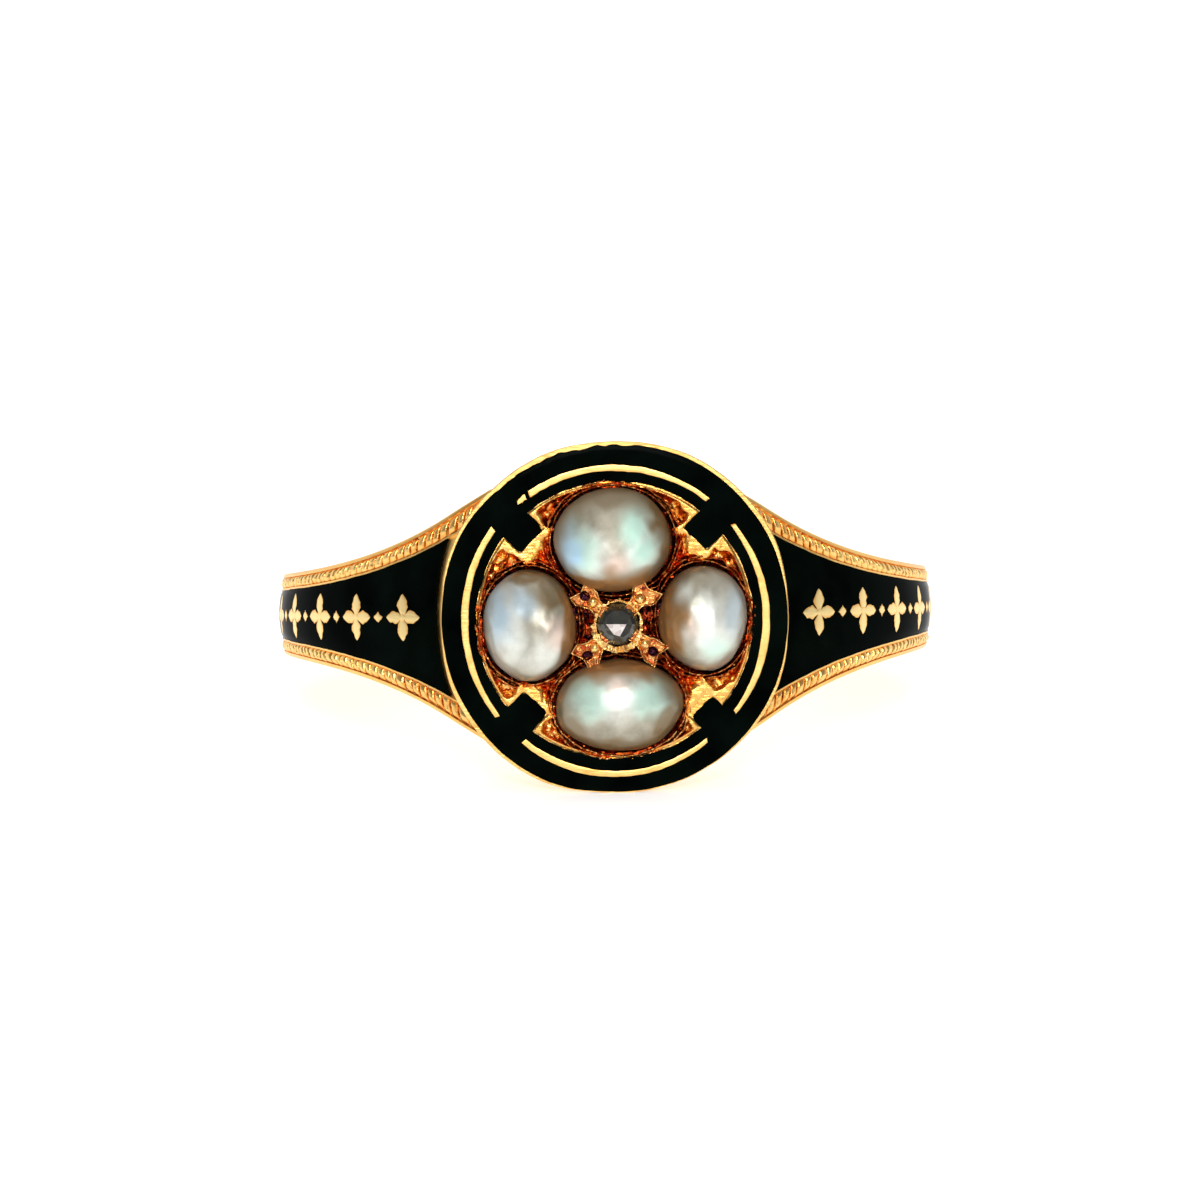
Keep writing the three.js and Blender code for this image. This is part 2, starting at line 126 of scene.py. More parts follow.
def on_face(x, z, rise):
    """A point of the head's face, in front of it by a rise."""
    return Vector((x, -FACE - rise, z))


def on_field(x, z, rise):
    """The same, measured from the middle of the inlay."""
    return on_face(x + INLAY_SHIFT[0], z + INLAY_SHIFT[1], rise)


def ease(t):
    """0 below 0, 1 above 1, and a smooth rise between."""
    t = min(1.0, max(0.0, t))
    return t * t * (3 - 2 * t)


def wander(along, seed, size):
    """A smooth hand-made wavering along a cut, the same in every run."""
    return size * noise.noise(Vector((along, 7.31 * seed, 0.5)))


def wander_round(turn, seed, size, waves):
    """The same round a circle, so that it meets itself."""
    at = Vector((math.cos(turn) * waves, math.sin(turn) * waves, 7.31 * seed))
    return size * noise.noise(at)


def chips(x, z, size, seed):
    """Chiselled facets: each cell of a random pattern is a small plane with a tilt and a shade."""
    at = Vector((x / size, z / size, seed))
    cell = noise.voronoi(at)[1][0]
    tilt = noise.noise_vector(cell * 5.3)
    height = tilt.x * (at.x - cell.x) + tilt.y * (at.y - cell.y)
    return height * size, min(1.0, max(0.0, 0.5 + 0.9 * tilt.z))


print("half width at the head", round(half_width(30), 2), "at the back", half_width(180))

# %% [markdown]
# Every piece ends the same way. Its mesh is carried to the table, its normals are made to point
# outwards, and edges sharper than a limit stay crisp while the rest is smooth. The object itself
# stays at the origin. It then rides with the ring's one body, and the imported node it stands for
# is hidden: the ring's body for every piece of gold, and the node with its name for any other
# piece.

# %% Finish a piece
def finished(name, bm, material, slot, crisp):
    bmesh.ops.transform(bm, matrix=LAY, verts=bm.verts)
    bmesh.ops.recalc_face_normals(bm, faces=bm.faces)
    for face in bm.faces:
        face.smooth = True
    for edge in bm.edges:
        if len(edge.link_faces) == 2:
            edge.smooth = edge.calc_face_angle() < math.radians(crisp)
    triangles = sum(len(face.verts) - 2 for face in bm.faces)
    loose = sum(1 for edge in bm.edges if len(edge.link_faces) != 2)
    lowest = min(vert.co.z for vert in bm.verts) * 1000
    mesh = bpy.data.meshes.new(name)
    bm.to_mesh(mesh)
    bm.free()
    mesh.materials.append(material)
    piece = bpy.data.objects.new(name, mesh)
    bpy.context.collection.objects.link(piece)
    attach(piece, "root")
    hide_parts("ring_body" if slot == "gold" else name)
    print(f"{name}: {triangles} triangles, {loose} open edges, lowest point {lowest:.3f} mm")


# %% [markdown]
# Most pieces of this ring are strips or sheets bent round something. They start as a flat grid,
# and a function says where each point of the grid goes. The grid's own coordinates run from 0 to 1
# both ways, and a strip that closes on itself is welded along its seam. On gold, each point can
# also get a tone, which the mesh keeps for its colour and which paints light and shade into it.

# %% Bend a flat grid into a shape
def bent_grid(bm, along, across, place, weld=0.0, tones=None):
    """Bend a grid by place(u, v), which also gives a tone where the layer for tones is named."""
    verts = bmesh.ops.create_grid(bm, x_segments=along, y_segments=across, size=1)["verts"]
    for vert in verts:
        u, v = (vert.co.x + 1) / 2, (vert.co.y + 1) / 2
        if tones:
            vert.co, vert[tones] = place(u, v)
        else:
            vert.co = place(u, v)
    if weld:
        bmesh.ops.remove_doubles(bm, verts=verts, dist=weld)
    return verts


def to_axis(co):
    """The way from a point of the hoop to the finger."""
    return -Vector((co.x, co.y, 0)).normalized()


def to_back(co):
    """The way from a point of the face into the head."""
    return Vector((0, 1, 0))


def deepened(bm, verts, inward, depth):
    """A sheet gets its thickness: its faces are drawn down, and the copy below is moved."""
    faces = list({face for vert in verts for face in vert.link_faces})
    made = bmesh.ops.extrude_face_region(bm, geom=faces, use_keep_orig=True)
    for item in made["geom"]:
        if isinstance(item, bmesh.types.BMVert):
            item.co += inward(item.co) * depth


def on_rim(vert):
    """Whether a point of a sheet lies on its outline."""
    return any(len(edge.link_faces) < 2 for edge in vert.link_edges)


def spun(bm, points, axis, steps, closed=False):
    """Turned work: a row of points is spun a full turn round an axis and welded."""
    chain = [bm.verts.new(point) for point in points]
    ends = [*chain[1:], chain[0]] if closed else chain[1:]
    edges = [bm.edges.new(pair) for pair in zip(chain, ends)]
    bmesh.ops.spin(
        bm,
        geom=[*chain, *edges],
        cent=(0, 0, 0),
        axis=axis,
        angle=2 * math.pi,
        steps=steps,
        use_merge=True,
    )
    bmesh.ops.remove_doubles(bm, verts=bm.verts, dist=0.0005)


# %% [markdown]
# ## Materials
#
# Every finish is a small tree of nodes. These helpers make one node each, with its links and
# values, so that a finish reads as a few lines.

# %% Helpers for node trees
def wired(nodes, kind, links, values=None, **settings):
    """A node with its links, given as (its input, another node's output), values and settings."""
    node = nodes.new(kind)
    for key, value in settings.items():
        setattr(node, key, value)
    for socket, source in links:
        node.id_data.links.new(source, node.inputs[socket])
    for socket, value in (values or {}).items():
        node.inputs[socket].default_value = value
    return node


def new_finish(name):
    material = bpy.data.materials.new(name)
    material.use_nodes = True
    return material, material.node_tree.nodes


def located(nodes):
    """Where a point lies on its object, for patterns that stay with it."""
    return nodes.new("ShaderNodeTexCoord").outputs["Object"]


def shaded(nodes, links, values):
    """Link and set the inputs of a material's main shader."""
    shader = nodes["Principled BSDF"]
    for socket, source in links.items():
        shader.id_data.links.new(source, shader.inputs[socket])
    for socket, value in values.items():
        shader.inputs[socket].default_value = value


def clouded(nodes, place, scale, detail, roughness=0.5):
    values = {"Scale": scale, "Detail": detail, "Roughness": roughness}
    return wired(nodes, "ShaderNodeTexNoise", [("Vector", place)], values).outputs["Fac"]


def ranged(nodes, source, low, high, start=0.0, end=1.0):
    """What runs from start to end is made to run from low to high."""
    values = {"From Min": start, "From Max": end, "To Min": low, "To Max": high}
    return wired(nodes, "ShaderNodeMapRange", [("Value", source)], values).outputs["Result"]


def ramped(nodes, source, stops):
    """A colour ramp from rows of a position and a colour."""
    ramp = wired(nodes, "ShaderNodeValToRGB", [("Fac", source)])
    band = ramp.color_ramp.elements
    band[0].position, band[0].color = stops[0][0], (*stops[0][1], 1)
    band[1].position, band[1].color = stops[-1][0], (*stops[-1][1], 1)
    for position, color in stops[1:-1]:
        band.new(position).color = (*color, 1)
    return ramp.outputs["Color"]


def bumped(nodes, source, strength, distance):
    values = {"Strength": strength, "Distance": distance}
    return wired(nodes, "ShaderNodeBump", [("Height", source)], values).outputs["Normal"]


def reckoned(nodes, operation, *sources, **settings):
    links = list(enumerate(sources))
    return wired(nodes, "ShaderNodeMath", links, operation=operation, **settings).outputs[0]


# %% [markdown]
# Old gold isn't one colour. Flat cuts are painted pale, and deep cuts are painted dark and orange
# as painted shade and a painted glow of light that bounces in them more than once. Hands have
# rubbed it, so fine scratches and soft dents break up every reflection. One node group makes that
# wear, and each gold finish places it with its own values.

# %% The wear of old gold, as a shader group
def make_old_wear():
    group = bpy.data.node_groups.new("Old wear", "ShaderNodeTree")
    for label in ("Scale", "Depth", "Shine", "Spread"):
        group.interface.new_socket(label, in_out="INPUT", socket_type="NodeSocketFloat")
    for label, kind in (("Tone", "Float"), ("Roughness", "Float"), ("Normal", "Vector")):
        group.interface.new_socket(label, in_out="OUTPUT", socket_type="NodeSocket" + kind)
    nodes, links = group.nodes, group.links
    given, result = nodes.new("NodeGroupInput").outputs, nodes.new("NodeGroupOutput").inputs
    place = located(nodes)
    soft = wired(
        nodes,
        "ShaderNodeTexNoise",
        [("Vector", place), ("Scale", given["Scale"])],
        {"Detail": 6, "Roughness": 0.62},
    ).outputs["Fac"]
    stretch = wired(
        nodes,
        "ShaderNodeMapping",
        [("Vector", place)],
        {"Scale": (1.0, 1.0, 7.0), "Rotation": (0.4, 0.7, 0.3)},
    )
    scratch = clouded(nodes, stretch.outputs["Vector"], 2600, 3)
    dents = wired(
        nodes,
        "ShaderNodeBump",
        [("Height", reckoned(nodes, "ADD", soft, scratch)), ("Strength", given["Depth"])],
        {"Distance": 0.00002},
    )
    gloss = reckoned(nodes, "MULTIPLY_ADD", soft, given["Spread"], given["Shine"])
    links.new(soft, result["Tone"])
    links.new(gloss, result["Roughness"])
    links.new(dents.outputs["Normal"], result["Normal"])
    return group


old_wear = make_old_wear()

# %% [markdown]
# Each gold finish is a ramp from deep colours to pale ones. On cut work the ramp follows a tone
# that the mesh stores for each point as an attribute, from 0 at the bottom of a cut to 1 on the
# flat, with some speckle from the wear. This tone paints light and shade: painted shade and a
# painted glow in the cuts, and painted glints and lit faces in places. Where a mesh has no cuts,
# the ramp follows the wear alone.

# %% Gold finishes
def gold_finish(name, stops, depth, shine, spread, by_cut=False, scale=900.0, speckle=0.25):
    material, nodes = new_finish(name)
    wear = nodes.new("ShaderNodeGroup")
    wear.node_tree = old_wear
    given = {"Scale": scale, "Depth": depth, "Shine": shine, "Spread": spread}
    for socket, value in given.items():
        wear.inputs[socket].default_value = value
    tone = wear.outputs["Tone"]
    # On cut work the tone attribute brings painted light and shade into the ramp.
    if by_cut:
        cut = wired(nodes, "ShaderNodeAttribute", [], attribute_name="cut").outputs["Fac"]
        tone = reckoned(nodes, "ADD", cut, ranged(nodes, tone, -speckle, speckle, 0.25, 0.75))
    links = {
        "Base Color": ramped(nodes, tone, stops),
        "Roughness": wear.outputs["Roughness"],
        "Normal": wear.outputs["Normal"],
    }
    shaded(nodes, links, {"Metallic": 1.0})
    return material


# In the ramps that follow the cut tone, the dark and red stops are painted shade and the painted
# red glow of light bounced in cuts.
PALE = (1.0, 0.65, 0.22)
WARM = (0.92, 0.47, 0.11)
AMBER = (0.8, 0.28, 0.035)
EMBER = (0.66, 0.06, 0.008)
SHADE_BLACK = (0.05, 0.01, 0.002)
CUT_STOPS = [(0.0, SHADE_BLACK), (0.2, EMBER), (0.5, AMBER), (0.78, WARM), (1.0, PALE)]
polished_gold = gold_finish(
    "Polished gold", [(0.2, WARM), (0.7, PALE)], 0.3, 0.18, 0.28, scale=1500.0
)
flat_gold = gold_finish(
    "Flat cut gold", CUT_STOPS, 0.25, 0.24, 0.2, by_cut=True, scale=2200.0, speckle=0.12
)
SHADE_RED = (0.5, 0.07, 0.018)
BRONZE = (0.64, 0.27, 0.075)
HONEY = (0.84, 0.48, 0.17)
PLUM = (0.04, 0.012, 0.022)
COLLET_STOPS = [(0.0, SHADE_BLACK), (0.2, SHADE_RED), (0.5, BRONZE), (0.78, HONEY), (1.0, PALE)]
carved_gold = gold_finish(
    "Carved gold", CUT_STOPS, 0.5, 0.16, 0.25, by_cut=True, scale=5200.0, speckle=0.2
)
collet_gold = gold_finish(
    "Gold of the collets", COLLET_STOPS, 0.5, 0.16, 0.25, by_cut=True, scale=5200.0, speckle=0.2
)
SETTING_STOPS = [(0.08, PLUM), (0.22, SHADE_RED), (0.55, BRONZE), (0.8, HONEY), (1.0, PALE)]
setting_gold = gold_finish(
    "Gold of the middle setting", SETTING_STOPS, 0.5, 0.16, 0.25, by_cut=True, scale=5200.0
)
BRIGHT = (1.0, 0.76, 0.34)
FLOWER_STOPS = [(0.0, EMBER), (0.4, WARM), (0.9, BRIGHT)]
flower_gold = gold_finish(
    "Gold of the flowers", FLOWER_STOPS, 0.25, 0.3, 0.2, by_cut=True, scale=2600.0, speckle=0.16
)
COPPER = (0.62, 0.13, 0.02)
STRAW = (0.87, 0.4, 0.08)
WHEAT = (0.95, 0.55, 0.16)
MILLED_STOPS = [(0.0, SHADE_BLACK), (0.16, COPPER), (0.38, STRAW), (0.62, WHEAT), (0.86, PALE)]
milled_gold = gold_finish(
    "Milled gold", MILLED_STOPS, 0.4, 0.18, 0.2, by_cut=True, scale=4200.0, speckle=0.22
)

# %% [markdown]
# The enamel is powdered black glass, melted into the gold and stoned flush. It is almost black with
# a trace of green, very smooth, and faintly rippled. Its clear gloss is kept low, so that it stays
# deep black in a bright room.

# %% Black enamel
def make_enamel():
    material, nodes = new_finish("Black enamel")
    place = located(nodes)
    clouds = clouded(nodes, place, 700, 4)
    stops = [(0.35, (0.0006, 0.0012, 0.0009)), (0.75, (0.002, 0.0045, 0.0032))]
    links = {
        "Base Color": ramped(nodes, clouds, stops),
        "Roughness": ranged(nodes, clouds, 0.06, 0.2),
        "Normal": bumped(nodes, clouded(nodes, place, 1400, 2), 0.12, 0.00003),
    }
    shaded(nodes, links, {"Specular IOR Level": 0.004})
    return material


black_enamel = make_enamel()

# %% [markdown]
# ## The gold hoop
#
# The hoop is a band whose section changes all the way round. A plain outer edge, a groove for the
# milling, a thin fillet and the enamel's channel follow each other across it. The section is
# written once as a list of points for the upper half, mirrored for the lower half, and a grid is
# wrapped round it. A slight wavering along the fillet keeps it from looking machined.

# %% The section of the hoop
EDGE = 0.12
FILLET = 0.06
GROOVE = 0.07
CHANNEL = 0.14


def channel_depth(angle):
    inside = min(1.0, max(0.0, (PANEL_END_ANGLE - abs(angle)) / 0.5 + 0.5))
    return CHANNEL * inside


def half_section(angle):
    half, panel = half_width(angle), panel_half(angle)
    waver = wander(angle * 0.35, 1, 0.02) + wander(angle * 1.1, 2, 0.012)
    inner = panel + waver * 0.6 * ease((180 - abs(angle)) / 8)
    top = [surface(angle, z) for z in (half, half - 0.05, half - EDGE)]
    points = [(FINGER_RADIUS, 0.0), (FINGER_RADIUS, 0.6 * (half - INNER_BEVEL))]
    for step in range(5):
        turn = math.pi / 2 * step / 4
        corner = INNER_BEVEL * (1 - math.cos(turn))
        points.append((FINGER_RADIUS + corner, half - INNER_BEVEL * (1 - math.sin(turn))))
    points += [(top[0] - 0.06, half), (top[0] - 0.018, half - 0.018), (top[1], half - 0.05)]
    points += [(top[2], half - EDGE), (top[2] - GROOVE, half - EDGE - 0.015)]
    outer = inner + FILLET
    points += [(surface(angle, outer) - GROOVE, outer + 0.015), (surface(angle, outer), outer)]
    points += [(surface(angle, inner), inner + 0.008)]
    depth = channel_depth(angle)
    points += [(surface(angle, z) - depth, z) for z in (inner, inner / 2, 0.0)]
    return points


def whole_section(angle):
    upper = half_section(angle)
    lower = [(radius, -z) for radius, z in half_section(angle + 0.001) if z > 0]
    return upper + lower[::-1]


# %% Wrap the hoop
def make_hoop():
    bm = bmesh.new()
    sections = {}

    def place(u, v):
        angle = u * 360 - 180
        step = round(u * 720)
        if step not in sections:
            sections[step] = whole_section(angle)
        section = sections[step]
        radius, z = section[round(v * len(section)) % len(section)]
        return on_hoop(angle, z, radius)

    count = len(whole_section(0))
    bent_grid(bm, 720, count, place, weld=0.0005)
    finished("gold_hoop", bm, polished_gold, "gold", 32)


make_hoop()

# %% [markdown]
# ## The milled borders
#
# A knurled wheel or a graver has cut each border into slanting bars like the strands of a rope.
# Bars this coarse catch light on their own, so they are real geometry: a strip whose height rises
# and falls along the hoop. The slant comes from shifting the pattern across the strip. Spacing,
# height and depth waver, and a tone is kept for painted shade in the furrows, painted glints on the
# bars and a painted shadow of the head near it. One more row runs below, inside the gold, and
# closes the strip into a tube.

# %% Mill the borders
BARS = 222
BAR_STEPS = 12
BAR_ROWS = 9
BAR_HEIGHT = 0.12
BAR_SLANT = 0.5
WELD = 0.0003


def make_milling(side, name):
    bm = bmesh.new()
    cut = bm.verts.layers.float.new("cut")

    def place(u, v):
        angle = u * 360 - 180
        outer = half_width(angle) - EDGE + 0.01
        inner = panel_half(angle) + FILLET - 0.01
        row = round(v * (BAR_ROWS + 2)) % (BAR_ROWS + 2)
        if row > BAR_ROWS:
            middle = (outer + inner) / 2
            return on_hoop(angle, side * middle, surface(angle, middle) - 0.25), 0.5
        v = row / BAR_ROWS
        z = outer + (inner - outer) * v
        away = abs(angle) / 360 * BARS
        phase = away - BAR_SLANT * v + 0.25 * v * v + wander(abs(angle) * 0.3, side + 5, 0.4)
        swell = 1 - abs(2 * (phase % 1.0) - 1) ** 4
        across = math.sin(math.pi * min(1, max(0, v))) ** 0.5
        uneven = noise.noise(Vector((math.floor(phase) * 1.7, v * 3, side * 4)))
        rough, glint = chips(angle * 0.17, z, 0.09, side + 6)
        rough *= ease((180 - abs(angle)) / 4)
        lift = swell * across * (0.9 + 0.35 * uneven)
        deeper = 0.03 * ease((45 - abs(angle)) / 20)
        rise = BAR_HEIGHT * lift + 0.15 * rough - GROOVE - 0.012 - deeper * (1 - v)
        # Painted light: the furrows are painted shade, some facets get a painted glint, and a
        # painted shadow of the head darkens the bars near it.
        head_shadow = 0.16 * ease((48 - abs(angle)) / 18)
        tone = 0.02 + 0.95 * lift + 0.12 * glint - head_shadow
        return on_hoop(angle, side * z, surface(angle, z) + rise), tone

    bent_grid(bm, BARS * BAR_STEPS, BAR_ROWS + 2, place, WELD, cut)
    finished(name, bm, milled_gold, "gold", 60)


make_milling(1, "upper_milling")
make_milling(-1, "lower_milling")

# %% [markdown]
# ## The enamel of the shoulders
#
# Each shoulder carries a long panel of enamel that ends beside the head in a shallow arc. The panel
# is a flat sheet first. Its head end is bent to the arc, the sheet is wrapped round the hoop, and a
# soft bulge rises from its edges, as melted glass has. Drawing the sheet down closes it.

# %% Lay the shoulder panels
PANEL_HEAD_RADIUS = 7.0
PANEL_HEAD_GAP = 0.08
BULGE = 0.05


def panel_start(z):
    """The angle at which the panel starts, for a height z: its end is an arc beside the head."""
    x = HEAD_RADIUS + PANEL_HEAD_GAP - PANEL_HEAD_RADIUS + math.sqrt(PANEL_HEAD_RADIUS**2 - z * z)
    return math.degrees(math.asin(x / surface(30, 0)))


def panel_point(side, u, v, lift):
    across = 2 * v - 1
    angle = 30.0
    for _ in range(8):
        z = across * (panel_half(angle) + wander(angle * 0.35, 1, 0.012))
        start = panel_start(min(abs(z), 3.4))
        angle = start + (PANEL_END_ANGLE - start) * u
    return on_hoop(side * angle, z, surface(angle, z) + lift)


def make_panel(side, name):
    bm = bmesh.new()

    def place(u, v):
        edge = min(1, u / 0.02, (1 - u) / 0.02, v / 0.14, (1 - v) / 0.14)
        rounded = 1 - (1 - max(0, edge)) ** 2
        dome = 1 - (2 * v - 1) ** 2
        return panel_point(side, u, v, -0.012 + 0.022 * rounded + BULGE * dome * rounded)

    deepened(bm, bent_grid(bm, 260, 28, place), to_axis, 0.12)
    finished(name, bm, black_enamel, "black_enamel", 50)


make_panel(-1, "enamel_left")
make_panel(1, "enamel_right")

# %% [markdown]
# ## Flowers left standing in the enamel
#
# The engraver cut the ground away round each figure and left it standing, so it shows as a flat
# gold shape flush with the black. Four pointed petals and a middle make a flower, and a small
# lozenge parts one flower from the next. They are drawn flat, with a corner softened, and then bent
# onto the hoop.

# %% Draw and bend the flowers
FLOWER_HEIGHT = 1.36
FLOWER_LENGTH = 1.24
PETAL_WIDTH = 0.36
MARK_DOT = 0.34
MARK_PITCH = 1.9
MARK_HEAD_GAP = 0.3


def petal(bm, length, width, turn, seed):
    """A leaf-shaped sheet from the flower's middle, lying flat in XY."""

    def place(u, v):
        swell = math.sin(math.pi * u) ** 0.8 if 0 < u < 1 else 0
        ragged = 1 + wander(u * 6 + v * 9, seed, 0.35)
        return Vector((u * length, (v - 0.5) * width * swell * ragged, 0))

    verts = bent_grid(bm, 14, 4, place)
    bmesh.ops.rotate(bm, cent=(0, 0, 0), matrix=Matrix.Rotation(turn, 3, "Z"), verts=verts)
    return verts


def lozenge(bm, size, seed):
    def place(u, v):
        ragged = 1 + wander(u * 5 + v * 9, seed, 0.3)
        return Vector(((u + v - 1) * size / 2, (v - u) * size / 2, 0)) * ragged

    return bent_grid(bm, 6, 6, place)


def bend_on(bm, verts, side, middle, lift):
    """Bend a flat sheet onto the hoop, paint shade as a darker tone at its sunk edge, and give it
    its depth.
    """
    cut = bm.verts.layers.float["cut"]
    for vert in verts:
        sunk = 0.006 if on_rim(vert) else 0
        vert[cut] = 0.45 if sunk else 0.95
        angle = middle + math.degrees(vert.co.x / HOOP_RADIUS)
        dome = 1 - min(1, abs(vert.co.y) / panel_half(angle)) ** 2
        radius = surface(angle, vert.co.y) + lift + BULGE * dome - sunk
        vert.co = on_hoop(side * angle, vert.co.y, radius)
    deepened(bm, verts, to_axis, 0.1)


def make_flowers():
    bm = bmesh.new()
    bm.verts.layers.float.new("cut")
    start = math.degrees(math.asin((HEAD_RADIUS + PANEL_HEAD_GAP) / HOOP_RADIUS))
    first = start + math.degrees((MARK_HEAD_GAP + FLOWER_LENGTH / 2) / HOOP_RADIUS)
    pitch = math.degrees(MARK_PITCH / HOOP_RADIUS)
    count = math.floor((PANEL_END_ANGLE - first) / pitch)
    for side in (1, -1):
        for number in range(count):
            angle = first + number * pitch
            tall = min(FLOWER_HEIGHT, 2 * (panel_half(angle) - 0.13))
            for quarter in range(4):
                length = (tall if quarter % 2 else FLOWER_LENGTH) / 2
                seed = side * 40 + number * 4 + quarter
                sheet = petal(bm, length, PETAL_WIDTH, quarter * math.pi / 2, seed)
                bend_on(bm, sheet, side, angle, 0.016)
            for size, middle in ((PETAL_WIDTH * 0.8, angle), (MARK_DOT, angle + pitch / 2)):
                sheet = lozenge(bm, size, number + side)
                bend_on(bm, sheet, side, middle, 0.02)
    finished("gold_flowers", bm, flower_gold, "gold", 40)


make_flowers()

# %% [markdown]
# ## The head
#
# The head is a turned drum. Its profile is drawn once beside the axis and spun a full turn: a flat
# back, a wall that widens towards the face, a thin rim, and a shallow tray for the enamel. Hands
# finished the rim, so it isn't quite round, it wavers, and its inner edge is ragged at the top.

# %% Turn the head
HEAD_PROFILE = [
    (0.0, 1.95),
    (4.4, 1.95),
    (4.5, 1.9),
    (4.68, 1.3),
    (4.86, 0.66),
    (4.895, 0.55),
    (4.985, 0.1),
    (5.0, 0.04),
    (4.992, 0.012),
    (4.975, 0.0),
    (4.945, 0.0),
    (4.935, 0.012),
    (4.93, 0.14),
    (3.99, 0.14),
    (3.95, 0.6),
    (0.0, 0.6),
]


# The rim's stray from its circle every 30 degrees from the right: its outer and inner edge.
RIM_STRAY = [
    (-0.0375, -0.0175),
    (0.0725, 0.0025),
    (0.0575, 0.0275),
    (-0.0325, -0.0225),
    (0.0025, -0.0275),
    (0.0275, 0.0175),
    (-0.0675, -0.0275),
    (0.0525, -0.0175),
    (0.0875, 0.0375),
    (-0.0375, -0.0075),
    (0.0125, 0.0075),
    (0.0625, 0.0075),
]
RIM_TALL = 1.006
RIM_INNER_EDGE = (4.9, 4.96)
WALL_FROM = 4.6
TRAY_RADIUS = 4.97
TRAY_DEPTH = 0.6
CENTRE_LINE = (0, 1, 0)
TURNS = 288


def rim_growth(turn, radius):
    """How far the drum's edge strays from its circle. Its inner edge is ragged in one place."""
    inner_edge = RIM_INNER_EDGE[0] < radius < RIM_INNER_EDGE[1]
    place = math.degrees(turn) % 360 / 30
    number = int(place)
    near, far = (RIM_STRAY[row % len(RIM_STRAY)][inner_edge] for row in (number, number + 1))
    grow = near + (far - near) * ease(place - number)
    grow += wander_round(turn, 3, 0.015, 4) + wander_round(turn, 4, 0.01, 14)
    if inner_edge:
        ragged = ease(math.cos(turn - math.radians(108)) * 6 - 5)
        grow += (wander_round(turn, 5, 0.07, 22) - 0.02) * ragged
    return grow


def polar(vert):
    """Where a point of the face lies round its middle: its radius and its turn."""
    return math.hypot(vert.co.x, vert.co.z), math.atan2(vert.co.z, vert.co.x)


def follow_rim(vert, radius, turn):
    grow = 1 + rim_growth(turn, radius) / radius
    vert.co.x *= grow
    vert.co.z *= grow * RIM_TALL


def shift(vert, start, end, share):
    """Move a point of the face sideways by a shift that blends from start to end."""
    vert.co.x += start[0] + (end[0] - start[0]) * share
    vert.co.z += start[1] + (end[1] - start[1]) * share


def make_head():
    bm = bmesh.new()
    spun(bm, [on_face(radius, 0, -depth) for radius, depth in HEAD_PROFILE], CENTRE_LINE, TURNS)
    for vert in bm.verts:
        radius, turn = polar(vert)
        if radius > WALL_FROM:
            follow_rim(vert, radius, turn)
        in_tray = ease((TRAY_RADIUS - radius) / 0.02) if vert.co.y < TRAY_DEPTH - FACE else 0.0
        shift(vert, DRUM_SHIFT, TRAY_SHIFT, in_tray)
    finished("gold_head", bm, polished_gold, "gold", 30)


make_head()

# %% [markdown]
# ## The enamel of the face
#
# A broad black ring fills the tray, and four black blocks point inwards from it. The ring's section
# is spun round, with its corners eased and its top very slightly domed. The blocks are small sheets
# with wavering sides, drawn down into the gold.

# %% Lay the face's enamel
RING_PROFILE = [
    (FIELD_RADIUS, -0.09),
    (FIELD_RADIUS, -0.012),
    (FIELD_RADIUS + 0.015, 0.0),
    (FIELD_RADIUS + 0.03, 0.001),
    (FIELD_RADIUS + 0.2, 0.004),
    (FIELD_RADIUS + 0.5, 0.006),
    (FIELD_RADIUS + 0.8, 0.004),
    (CHANNEL_RADIUS - 0.01, -0.002),
    (CHANNEL_RADIUS + 0.012, -0.01),
    (CHANNEL_RADIUS + 0.012, -0.09),
]
BLOCKS = [
    {"angle": 44.5, "inner": 3.2, "width": 0.93},
    {"angle": 135.5, "inner": 3.22, "width": 0.98},
    {"angle": 225.8, "inner": 3.2, "width": 0.95},
    {"angle": 314.3, "inner": 3.48, "width": 0.88},
]


def make_face_enamel():
    bm = bmesh.new()
    spun(bm, [on_face(radius, 0, rise) for radius, rise in RING_PROFILE], CENTRE_LINE, TURNS, True)
    for vert in bm.verts:
        radius, turn = polar(vert)
        if radius < FIELD_RADIUS + 0.05:
            grow = wander_round(turn, 6, 0.05, 5) + wander_round(turn, 8, 0.025, 16)
            vert.co.x *= 1 + grow / radius
            vert.co.z *= 1 + grow / radius
        if radius > CHANNEL_RADIUS - 0.05:
            follow_rim(vert, radius, turn)
        shift(vert, INLAY_SHIFT, TRAY_SHIFT, ease((radius - 4.4) / 0.5))
    for number, block in enumerate(BLOCKS):
        aim = math.radians(block["angle"])

        def place(u, v):
            near = block["inner"] + 0.05 * (2 * v - 1) ** 4 + wander(v * 4, number + 20, 0.05)
            along = near + (FIELD_RADIUS + 0.12 - near) * u
            ragged = wander(u * 3 + 5 * (v > 0.5), number + 30, 0.04)
            wide = (v - 0.5) * block["width"] * (1 - 0.12 * (1 - u) ** 6) + ragged * (2 * v - 1)
            edge = min(1, u / 0.06, v / 0.06, (1 - v) / 0.06)
            rise = -0.006 + 0.011 * max(0, edge)
            x = along * math.cos(aim) - wide * math.sin(aim)
            z = along * math.sin(aim) + wide * math.cos(aim)
            return on_field(x, z, rise)

        deepened(bm, bent_grid(bm, 20, 20, place), to_back, 0.09)
    finished("enamel_face", bm, black_enamel, "black_enamel", 50)


make_face_enamel()

# %% [markdown]
# ## The gold arcs
#
# Between the blocks the engraver left thin arcs of gold standing in the black. No two are alike:
# they swell in the middle, thin towards their ends, and one end has broken off and stands apart.
# A row for each arc holds its ends in degrees, how far its middle strays outwards, and its width at
# the start, middle and end.

